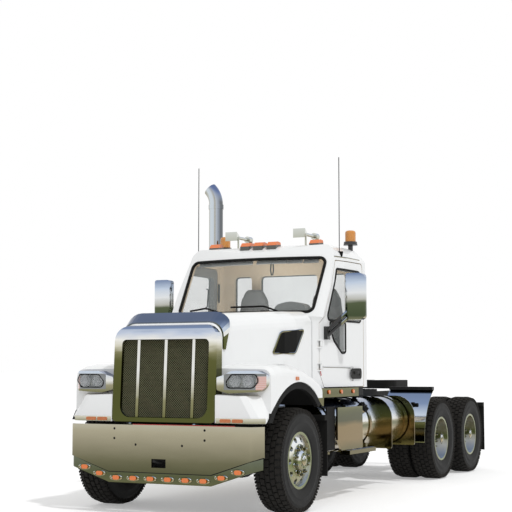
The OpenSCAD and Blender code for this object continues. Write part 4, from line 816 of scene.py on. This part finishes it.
# Glazed front of a pod: its ends across, its middle and half height, then where the pink turn lens begins
GLAZED_IN, GLAZED_OUT, GLAZED_Z, GLAZED_HALF_H = 0.712, 1.142, 1.374, 0.082
TURN_LENS_IN, TURN_LENS_RISE = 1.062, 0.055
pod_chrome = bright_wall("pod_chrome", 1.25, 1.49, POD_REFLECTION_TONES)
pod_x = abs(pod_chrome.place("X"))
pod_rise = pod_chrome.place("Z") - GLAZED_Z
glazed = (pod_chrome.facing("Y") < -0.35) * (pod_x > GLAZED_IN) * (abs(pod_rise) < GLAZED_HALF_H)
glazed = glazed * (pod_x < GLAZED_OUT)
flute_waves = {"Vector": pod_chrome.place(), "Scale": 16.0}
flutes = pod_chrome.add("TexWave", {"bands_direction": "Z"}, flute_waves, "Fac")
blush = pod_chrome.mix(flutes, (0.55, 0.24, 0.19), (0.62, 0.50, 0.47))
smoke = pod_chrome.mix(pod_chrome.noise(14, 3), (0.10, 0.11, 0.11), (0.24, 0.25, 0.25))
glazing = pod_chrome.mix((pod_x > TURN_LENS_IN) * (pod_rise < TURN_LENS_RISE), smoke, blush)
pod_chrome.cover(glazed, glazing, metallic=1 - glazed * 0.7, coat_weight=glazed)
dress(pod_chrome, "headlamps")
clear_lens = Finish("clear_lens", {"Base Color": (0.45, 0.48, 0.48), "Roughness": 0.03, "Coat Weight": 0.4})
clear_lens.look(alpha=0.14 + clear_lens.noise(30, 2) * 0.08)
reflector = mottled(
    "lamp_reflector", {"Metallic": 0.8, "Roughness": 0.15}, (25, 3), (0.16, 0.17, 0.18), (0.42, 0.43, 0.44))


def slab(points, depth):
    """A closed form from a flat outline, thickened along depth."""
    shape = bmesh.new()
    shape.faces.new([shape.verts.new(point) for point in points])
    raised = bmesh.ops.extrude_face_region(shape, geom=shape.faces[:])["geom"]
    corners = [part for part in raised if isinstance(part, bmesh.types.BMVert)]
    bmesh.ops.translate(shape, vec=depth, verts=corners)
    bmesh.ops.recalc_face_normals(shape, faces=shape.faces)
    return shape


POD_LENS = [(0.742, 1.312, 0.045), (1.036, 1.312, 0.055), (1.092, 1.380, 0.036), (1.064, 1.448, 0.036),
            (0.803, 1.448, 0.045), (0.742, 1.380, 0.018)]
POD_FACE_Y, POD_SWEEP, POD_SWEEP_X = -3.785, 0.07, 0.74
LENS_T, GASKET_SET = 0.005, 0.003
BOWL = [(0.0, 0.066), (0.005, 0.066), (0.006, 0.061), (0.001, 0.055), (0.0015, 0.040), (0.006, 0.038),
        (0.0085, 0.024), (0.0095, 0.0005)]
BOWL_XS, BOWL_Y, BOWL_Z = (0.830, 0.985), -3.762, 1.378
AHEAD = Matrix.Rotation(-math.pi / 2, 4, "Z")
lens_edge = [(x, POD_FACE_Y + POD_SWEEP * max(0, x - POD_SWEEP_X), z) for x, z in rounded_loop(POD_LENS)]
lamp_glass = bmesh.new()
lamp_bowls = bmesh.new()
gaskets = []
for sign in (1, -1):
    merge(lamp_glass, slab(lens_edge, (0, LENS_T, 0)), Matrix.Diagonal((sign, 1, 1, 1)))
    gaskets.append([(sign * x, y + GASKET_SET, z) for x, y, z in lens_edge])
    for x in BOWL_XS:
        merge(lamp_bowls, turned(BOWL, 36), Matrix.Translation((sign * x, BOWL_Y, BOWL_Z)) @ AHEAD)
bead("headlamp_gaskets", gaskets, 0.0055, black_moulding, "hood")
piece("headlamp_covers", lamp_glass, clear_lens, "hood")
piece("headlamp_bowls", lamp_bowls, reflector, "hood")

# The fender lamps stand proud of their bright strip, past these places ahead and at the sides
STRIP_FRONT, STRIP_SIDE = -3.8034, 1.2004
# The strip's chrome has a painted reflection: darker low down, pale at the top.
STRIP_REFLECTION_TONES = [(0.0, 0.22, 0.21, 0.12), (1.0, 0.62, 0.60, 0.50)]
strip_metal = bright_wall("lamp_strip_chrome", 0.95, 1.01, STRIP_REFLECTION_TONES)
proud = (strip_metal.place("Y") < STRIP_FRONT) + (abs(strip_metal.place("X")) > STRIP_SIDE)
lit_tone = strip_metal.mix(strip_metal.noise(60, 2), (0.42, 0.10, 0.02), (0.72, 0.24, 0.08))
strip_metal.cover(proud, lit_tone, metallic=1 - proud)
dress(strip_metal, "fender_lamps")


# Cab: a welded steel and aluminium body in white gloss, lined with tan cloth and grey mouldings, with a
# bonded curved windscreen in a black rubber seal and three panes across its back.
CAB_CENTRE = (0.0, -1.35, 2.10)


def lined_paint(name, lining_low, lining_high):
    """White outside, and a woven lining on the faces that look towards the cab's middle."""
    finish = Finish(name, {"Coat Roughness": 0.05})
    inward = finish.add("VectorMath", {"operation": "SUBTRACT"}, {0: CAB_CENTRE, 1: finish.place()})
    inward = finish.add("VectorMath", {"operation": "NORMALIZE"}, {0: inward})
    facing = finish.add("TexCoord", out="Normal")
    lining = finish.add("VectorMath", {"operation": "DOT_PRODUCT"}, {0: facing, 1: inward}, "Value") > 0.22
    paint = finish.mix(finish.noise(1.2, 4), PAINT_LOW, PAINT_HIGH)
    cloth = finish.mix(finish.noise(35, 4), lining_low, lining_high)
    finish.look(base_color=finish.mix(lining, paint, cloth), coat_weight=(1 - lining) * 0.6)
    finish.look(roughness=0.32 + lining * 0.5 + finish.noise(9, 3) * 0.08)
    finish.bump(finish.noise(420, 2), 0.0004, 0.2)
    return finish


tan_cab = lined_paint("cab_paint_tan_lining", (0.54, 0.44, 0.32), (0.65, 0.55, 0.41))
dress(tan_cab, "cab_front", "cab_back", "cab_roof")
dress(chassis_paint, "cab_floor")
window_glass = Finish("window_glass", {"Base Color": (0.35, 0.40, 0.40), "Roughness": 0.02})
window_glass.look(alpha=0.10 + window_glass.noise(2.0, 2) * 0.08)
dress(window_glass, "cab_glass", "door_glass_left", "door_glass_right")
seal_rubber = dusty_black("seal_rubber", 0.008, 0.45, 500, 0.0003)
SCREEN_R, SCREEN_RAKE = 3.5, math.radians(30.8)
SCREEN_LOW_Y, SCREEN_LOW_Z = -2.068, 2.170


def screen_point(x, z):
    """A point on the windscreen's outer face."""
    bow = (SCREEN_R - math.sqrt(SCREEN_R ** 2 - x ** 2)) / math.cos(SCREEN_RAKE)
    return Vector((x, SCREEN_LOW_Y + (z - SCREEN_LOW_Z) * math.tan(SCREEN_RAKE) + bow, z))


def eased(loop, most):
    """Puts more points along a closed outline's long runs."""
    path = []
    for here, there in zip(loop, loop[1:] + loop[:1]):
        parts = max(1, int((there - here).length / most))
        path += [here.lerp(there, part / parts) for part in range(parts)]
    return path


SCREEN_EDGE = [(-0.882, 2.158, 0.065), (0.882, 2.158, 0.065), (0.893, 2.815, 0.078), (-0.893, 2.815, 0.078)]
seal_path = [screen_point(x, z) for x, z in eased(rounded_loop(SCREEN_EDGE), 0.08)]
bead("windscreen_seal", [seal_path], 0.019, seal_rubber, "chassis")

# Wipers: place of the pivot across, then points along blade and arm on the glass
WIPERS = [
    (-0.43, [(-0.700, 2.196), (-0.480, 2.222), (-0.440, 2.216), (-0.290, 2.176)]),
    (0.33, [(-0.120, 2.226), (0.290, 2.232), (0.330, 2.224), (0.500, 2.166)])]
WIPER_PIVOT_Y, WIPER_PIVOT_DROP, WIPER_LIFT = -2.14, 0.018, Vector((0, -0.014, 0))
WIPER_BOSS = [(0.0, 0.001), (0.0, 0.026), (0.012, 0.026), (0.020, 0.020), (0.076, 0.018), (0.082, 0.012),
              (0.082, 0.001)]
UPRIGHT = Matrix.Rotation(-math.pi / 2, 4, "Y")
wiper_low, wiper_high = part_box("wipers")
sweeps = []
bosses = bmesh.new()
for pivot_x, points in WIPERS:
    pivot = Vector((pivot_x, WIPER_PIVOT_Y, wiper_high.z - WIPER_PIVOT_DROP))
    sweeps.append([screen_point(x, z) + WIPER_LIFT for x, z in points] + [pivot])
    merge(bosses, turned(WIPER_BOSS, 20), Matrix.Translation((pivot_x, WIPER_PIVOT_Y, wiper_low.z)) @ UPRIGHT)
bead("wiper_blades", sweeps, 0.011, seal_rubber, "chassis", closed=False, replaced=["wipers"])
piece("wiper_pivots", bosses, black_moulding, "chassis")

BACK_Y, BACK_LOW, BACK_TOP, BACK_CORNER = -0.640, 2.15, 2.69, 0.05
BACK_PANES = [(-0.770, -0.520), (-0.400, 0.400), (0.520, 0.770)]
back_edges = []
for x0, x1 in BACK_PANES:
    corners = [(x0, BACK_LOW), (x1, BACK_LOW), (x1, BACK_TOP), (x0, BACK_TOP)]
    loop = rounded_loop([(x, z, BACK_CORNER) for x, z in corners])
    back_edges.append([(x, BACK_Y, z) for x, z in loop])
bead("back_window_seals", back_edges, 0.012, seal_rubber, "chassis")

DRIP_Y, DRIP_STEP, DRIP_POINTS, DRIP_Z = -1.49, 0.082, 9, 2.832
drips = [[from_side("cab_roof", sign, DRIP_Y + DRIP_STEP * step, DRIP_Z)[0] for step in range(DRIP_POINTS)]
         for sign in (1, -1)]
bead("drip_rails", drips, 0.007, step_metal, "chassis", closed=False)
AERIAL_FOOT = [(0.0, 0.001), (0.0, 0.018), (0.050, 0.030), (0.085, 0.038), (0.095, 0.036), (0.095, 0.001)]
AERIAL_X, AERIAL_Y, AERIAL_FOOT_Z = 0.972, -1.325, 2.806
feet = bmesh.new()
for sign in (1, -1):
    place = Matrix.Translation((sign * AERIAL_X, AERIAL_Y, AERIAL_FOOT_Z)) @ UPRIGHT
    merge(feet, turned(AERIAL_FOOT, 20), place)
piece("aerial_feet", feet, black_moulding, "chassis")

GRAB_HANDLE = [
    (-0.905, -1.206, 2.514), (-0.880, -1.206, 2.500), (-0.880, -1.23, 2.29), (-0.905, -1.23, 2.273)]
HEADLINER_LOOP = [(x, -1.40, z) for x, z in (
    (0.095, 2.82), (0.088, 2.70), (0.098, 2.645), (0.116, 2.645), (0.126, 2.70), (0.119, 2.82))]
bead("cab_loops", [GRAB_HANDLE, HEADLINER_LOOP], 0.009, black_moulding, "chassis", closed=False)
STRAP_SIZE, STRAP_SPOT = (0.008, 0.040, 0.24), (-0.945, -0.80, 2.48)
strap = bmesh.new()
block(strap, STRAP_SIZE, STRAP_SPOT, 0.003)
piece("cab_strap", strap, black_moulding, "chassis")


# Doors: hung on outside hinges, each with a main pane and a low kerb pane in black seals, a paddle
# handle on a black plate, and a chromed mirror on a black two bar arm.
grey_door = lined_paint("door_paint_grey_lining", (0.17, 0.17, 0.165), (0.25, 0.25, 0.24))
# The recess behind the handle's plate: inner limit across, then its ends along the truck and up
RECESS_X, RECESS_Y, RECESS_Z = 1.0515, (-1.204, -0.904), (1.394, 1.511)
along, up = grey_door.place("Y"), grey_door.place("Z")
recess = (abs(grey_door.place("X")) > RECESS_X) * (along > RECESS_Y[0]) * (along < RECESS_Y[1])
recess = recess * (up > RECESS_Z[0]) * (up < RECESS_Z[1])
grey_door.cover(recess, (0.010, 0.010, 0.010))
dress(grey_door, "door_left", "door_right")
# The mirror shells' chrome has a painted reflection by height: dark ground, a pale horizon, blue sky at the
# top.
MIRROR_REFLECTION_TONES = [
    (0.0, 0.20, 0.20, 0.12), (0.10, 0.06, 0.08, 0.04), (0.36, 0.09, 0.11, 0.06), (0.42, 0.45, 0.45, 0.40),
    (0.60, 0.74, 0.76, 0.77), (0.80, 0.52, 0.60, 0.72), (1.0, 0.16, 0.22, 0.36)]
MIRROR_SHELL_IN = 1.1585
mirror_chrome = bright_wall("mirror_chrome", 2.07, 2.61, MIRROR_REFLECTION_TONES)
arm = abs(mirror_chrome.place("X")) < MIRROR_SHELL_IN
mirror_chrome.cover(arm, (0.012, 0.012, 0.012), metallic=1 - arm)
dress(mirror_chrome, "mirror_left", "mirror_right")
mirror_glass = Finish("mirror_glass", {"Metallic": 1.0, "Base Color": (0.72, 0.75, 0.76)})
mirror_glass.look(roughness=0.02 + mirror_glass.noise(4, 2) * 0.02)
handle_black = dusty_black("handle_black", 0.008, 0.35, 500, 0.0002)

SIDE_PANES = [
    [(-1.848, 2.069, 0.046), (-0.880, 2.069, 0.056), (-0.880, 2.683, 0.056), (-1.499, 2.683, 0.046)],
    [(-1.778, 2.050, 0.030), (-1.673, 1.842, 0.205), (-1.440, 1.690, 0.065), (-1.339, 1.698, 0.036),
     (-1.339, 2.050, 0.030)]]
HANDLE_PLATE = [
    (-1.226, 1.388, 0.040), (-0.900, 1.388, 0.040), (-0.900, 1.514, 0.040), (-1.226, 1.514, 0.040)]
HANDLE_Y, HANDLE_Z, PLATE_T, PLATE_SET = -1.055, 1.452, 0.006, 0.001
# Paddle and lock: size, distance from the door's skin, place along the truck and up, rounding
HANDLE_BLOCKS = [((0.012, 0.150, 0.036), 0.008, -1.075, 1.462, 0.005),
                 ((0.008, 0.026, 0.026), 0.007, -0.965, 1.440, 0.003)]
REFLECTOR_SIZE, REFLECTOR_Y, REFLECTOR_Z, REFLECTOR_LEAN = (0.006, 0.020, 0.090), -2.006, 1.47, 0.35
SWAGE_POINTS, SWAGE_Y, SWAGE_Z, SWAGE_STEP = 10, -2.0, 1.528, (0.09, -0.0011)
MIRROR_PANE_X, MIRROR_PANE_Y, MIRROR_PANE_W, MIRROR_PANE_T = 1.285, -1.5795, 0.205, 0.005
# Mirror panes: height and place up
MIRROR_PANES = [(0.33, 2.415), (0.14, 2.165)]
for side, sign in SIDES:
    door = f"door_{side}"
    loops = [eased(rounded_loop(pane), 0.10) for pane in SIDE_PANES]
    edges = [[from_side(door, sign, y, z)[0] for y, z in loop] for loop in loops]
    bead(f"window_seals_{side}", edges, 0.012, seal_rubber, door)
    glint = bmesh.new()
    spot, _ = from_side(door, sign, REFLECTOR_Y, REFLECTOR_Z)
    block(glint, REFLECTOR_SIZE, spot, 0.002, Matrix.Rotation(REFLECTOR_LEAN, 3, "X"))
    piece(f"door_reflector_{side}", glint, red_lens, door)
    # A dark bead along the top of the door's swage is a painted shade line, where the crease lies in shade.
    swage = [from_side(door, sign, SWAGE_Y + SWAGE_STEP[0] * step, SWAGE_Z + SWAGE_STEP[1] * step)[0]
             for step in range(SWAGE_POINTS)]
    bead(f"door_swage_{side}", [swage], 0.0045, step_metal, door, closed=False)
    handle = bmesh.new()
    skin_x = from_side(door, sign, HANDLE_Y, HANDLE_Z)[0].x
    plate = slab([(0, y, z) for y, z in rounded_loop(HANDLE_PLATE)], (PLATE_T, 0, 0))
    place = Matrix.Translation((skin_x - sign * PLATE_SET, 0, 0)) @ Matrix.Diagonal((sign, 1, 1, 1))
    merge(handle, plate, place)
    for size, out, y, z, round_off in HANDLE_BLOCKS:
        block(handle, size, (skin_x + sign * out, y, z), round_off, segments=2)
    piece(f"door_handle_{side}", handle, handle_black, door)
    panes = bmesh.new()
    for height, z in MIRROR_PANES:
        block(panes, (MIRROR_PANE_W, MIRROR_PANE_T, height), (sign * MIRROR_PANE_X, MIRROR_PANE_Y, z), 0.0015)
    piece(f"mirror_glass_{side}", panes, mirror_glass, door)


# Roof and stack: chromed twin horns, amber beacons on black feet, whip aerials, and an exhaust stack with a
# curved tip. The chrome of horns, pipe and tip is a painted reflection; on the tall pipe it shows the horizon
# in upright streaks.
HORN_REFLECTION_TONES = [(0.0, 0.48, 0.49, 0.42), (1.0, 0.64, 0.66, 0.62)]
dress(bright_wall("horn_chrome", 3.08, 3.21, HORN_REFLECTION_TONES), "air_horns")
STACK_REFLECTION_TONES = [
    (0.04, 0.34, 0.32, 0.24), (0.16, 0.42, 0.42, 0.38), (0.30, 0.60, 0.66, 0.70), (0.55, 0.56, 0.62, 0.68),
    (0.66, 0.40, 0.38, 0.32), (0.74, 0.46, 0.50, 0.55), (0.88, 0.28, 0.31, 0.36), (0.96, 0.15, 0.16, 0.17)]
TIP_REFLECTION_TONES = [
    (0.0, 0.25, 0.22, 0.15), (0.45, 0.40, 0.40, 0.34), (0.56, 0.34, 0.40, 0.52), (0.72, 0.12, 0.17, 0.33),
    (1.0, 0.09, 0.13, 0.25)]
# The stack's colour is a painted reflection: streaks by how the upright faces turn, and sky and ground by
# slope on the bent tip.
stack_chrome = Finish("stack_chrome", {"Metallic": 1.0})
stack_slope = stack_chrome.facing("Z")
streaks = stack_chrome.ramp(stack_chrome.facing("X") * 0.5 + 0.5, STACK_REFLECTION_TONES)
bent = stack_chrome.add("MapRange", None, {0: abs(stack_slope), 1: 0.08, 2: 0.35})
tip = stack_chrome.ramp(stack_slope * 0.5 + 0.5, TIP_REFLECTION_TONES)
stack_chrome.look(base_color=stack_chrome.mix(bent, streaks, tip))
stack_chrome.look(roughness=0.06 + stack_chrome.noise(30, 3) * 0.06)
dress(stack_chrome, "exhaust_stack")
BEACON_FOOT_TOP = 3.074
beacon_lens = lens("beacon_lens", (0.48, 0.16, 0.02), (0.72, 0.32, 0.06), (0, 0, 55))
foot = beacon_lens.place("Z") < BEACON_FOOT_TOP
beacon_lens.cover(foot, (0.012, 0.012, 0.012), roughness=0.25 + foot * 0.25)
dress(beacon_lens, "beacons")
dress(black_moulding, "antennas")


# Inside: a grey moulded dashboard with a hooded binnacle, and a black wheel on its column. Two padded visors
# follow the windscreen's curve under the headliner, each made of short straight lengths.
dash_grey = mottled(
    "dash_grey", {"Specular IOR Level": 0.35}, (3, 3), (0.20, 0.20, 0.195), (0.30, 0.295, 0.285))
grain = dash_grey.noise(160, 4)
dash_grey.look(roughness=0.55 + grain * 0.2)
dash_grey.bump(grain, 0.0008, 0.4)
dress(dash_grey, "dashboard")
dress(black_moulding, "steering_wheel")
VISOR_ENDS, VISOR_LENGTHS, VISOR_LAP = [(-0.80, -0.03), (0.03, 0.80)], 4, 0.004
VISOR_T, VISOR_H, VISOR_LOW, VISOR_TOP = 0.016, 0.048, 2.765, 2.80
VISOR_SET = Vector((0, 0.050, -0.004))
visors = bmesh.new()
for x0, x1 in VISOR_ENDS:
    run = (x1 - x0) / VISOR_LENGTHS
    for part in range(VISOR_LENGTHS):
        x = x0 + run * (part + 0.5)
        spot = (screen_point(x, VISOR_LOW) + screen_point(x, VISOR_TOP)) / 2 + VISOR_SET
        block(visors, (run + VISOR_LAP, VISOR_T, VISOR_H), spot, turn=Matrix.Rotation(-SCREEN_RAKE, 3, "X"))
piece("sun_visors", visors, dash_grey, "chassis")


# Seats: foam pads under grey woven cloth, a cushion and a high back whose top narrows to a head rest, with
# sewn channels, each on a black air suspended pedestal. The pads are blown up as cloth and then sewn.
seat_cloth = Finish("seat_cloth", {"Sheen Weight": 0.12, "Roughness": 0.9})
weave = seat_cloth.noise(400, 2)
shade = seat_cloth.noise(7, 4) * 0.6 + weave * 0.4
seat_cloth.look(base_color=seat_cloth.mix(shade, (0.060, 0.059, 0.058), (0.110, 0.108, 0.106)))
seat_cloth.bump(weave, 0.001, 0.5)
VOXEL = 0.009
PRESSURE = 4.0
MOST_SWELL = 0.018
FRAMES = 20
CHANNEL_W, CHANNEL_REACH = 0.009, 0.03


def finished(made):
    """The mesh of an object with its modifiers applied."""
    return bpy.data.meshes.new_from_object(made.evaluated_get(bpy.context.evaluated_depsgraph_get()))


def plump(name, shape, channels):
    """Blows a closed form up as a cloth pad, then presses sewn channels into its face."""
    form = bpy.data.meshes.new(name)
    shape.to_mesh(form)
    shape.free()
    pad = linked(name, form)
    remesh = pad.modifiers.new("even", "REMESH")
    remesh.mode = "VOXEL"
    remesh.voxel_size = VOXEL
    rest = finished(pad)
    pad.modifiers.remove(remesh)
    pad.data = rest
    before = [vertex.co.copy() for vertex in rest.vertices]
    cloth = pad.modifiers.new("cloth", "CLOTH")
    cloth.settings.quality = 4
    cloth.settings.use_pressure = True
    cloth.settings.uniform_pressure_force = PRESSURE
    cloth.settings.effector_weights.gravity = 0
    cloth.point_cache.frame_start = 1
    cloth.point_cache.frame_end = FRAMES
    for number in range(1, FRAMES + 1):
        scene.frame_set(number)
    blown = finished(pad)
    pad.modifiers.remove(cloth)
    for vertex, start, after in zip(rest.vertices, before, blown.vertices):
        move = after.co - start
        vertex.co = start + move * min(1, MOST_SWELL / max(move.length, 1e-9))
    bpy.data.meshes.remove(blown)
    scene.frame_set(1)
    for vertex in rest.vertices:
        for axis, place, toward, depth in channels:
            gap = vertex.co[axis] - place
            if vertex.normal.dot(toward) > 0.3 and abs(gap) < CHANNEL_REACH:
                vertex.co -= toward * depth * math.exp(-(gap / CHANNEL_W) ** 2)
    made = bmesh.new()
    made.from_mesh(rest)
    bpy.data.objects.remove(pad)
    bmesh.ops.smooth_vert(made, verts=made.verts, factor=0.4, use_axis_x=True, use_axis_y=True,
                          use_axis_z=True)
    return made


BACK = [(-0.215, 1.74, 0.04), (0.215, 1.74, 0.04), (0.225, 2.16, 0.10), (0.190, 2.38, 0.16),
        (0.105, 2.525, 0.09), (-0.105, 2.525, 0.09), (-0.190, 2.38, 0.16), (-0.225, 2.16, 0.10)]
BACK_FRONT, BACK_T = -0.905, 0.075
CUSHION = [(-0.225, 1.605, 0.03), (0.225, 1.605, 0.03), (0.225, 1.715, 0.045), (-0.225, 1.715, 0.045)]
CUSHION_FRONT, CUSHION_L = -1.262, 0.332
# Sewn channels: axis that they cross, place on it, the way that their face looks, depth
BACK_CHANNELS = [(2, z, Vector((0, -1, 0)), depth) for z, depth in (
    (1.86, 0.012), (2.00, 0.012), (2.14, 0.012), (2.27, 0.010))]
CUSHION_CHANNELS = [(0, x, Vector((0, 0, 1)), depth) for x, depth in (
    (-0.13, 0.012), (0.0, 0.010), (0.13, 0.012))]
back = slab([(x, BACK_FRONT, z) for x, z in rounded_loop(BACK)], (0, BACK_T, 0))
cushion = slab([(x, CUSHION_FRONT, z) for x, z in rounded_loop(CUSHION)], (0, CUSHION_L, 0))
forms = [("back", plump("seat_back_form", back, BACK_CHANNELS)),
         ("cushion", plump("seat_cushion_form", cushion, CUSHION_CHANNELS))]
# Pedestal: foot, bellows, seat pan and back plate, each with size, place along and up, rounding, segments
BELLOWS = [((0.29, 0.30, 0.042), -1.03, 1.345 + 0.046 * fold, 0.018, 2) for fold in range(5)]
PEDESTAL = [
    ((0.36, 0.36, 0.030), -1.03, 1.306, 0.006, 1), *BELLOWS, ((0.40, 0.34, 0.030), -1.06, 1.587, 0.006, 1),
    ((0.34, 0.022, 0.56), -0.818, 1.88, 0.008, 1)]
SEATS = [("passenger", -0.395), ("driver", 0.600)]
for seat, x in SEATS:
    for part, form in forms:
        pad = bmesh.new()
        merge(pad, form.copy(), Matrix.Translation((x, 0, 0)))
        made = piece(f"seat_{part}_{seat}", pad, seat_cloth, "chassis", ["seats"], 180)
    pedestal = bmesh.new()
    for size, y, z, round_off, segments in PEDESTAL:
        block(pedestal, size, (x, y, z), round_off, segments=segments)
    piece(f"seat_pedestal_{seat}", pedestal, black_moulding, "chassis")
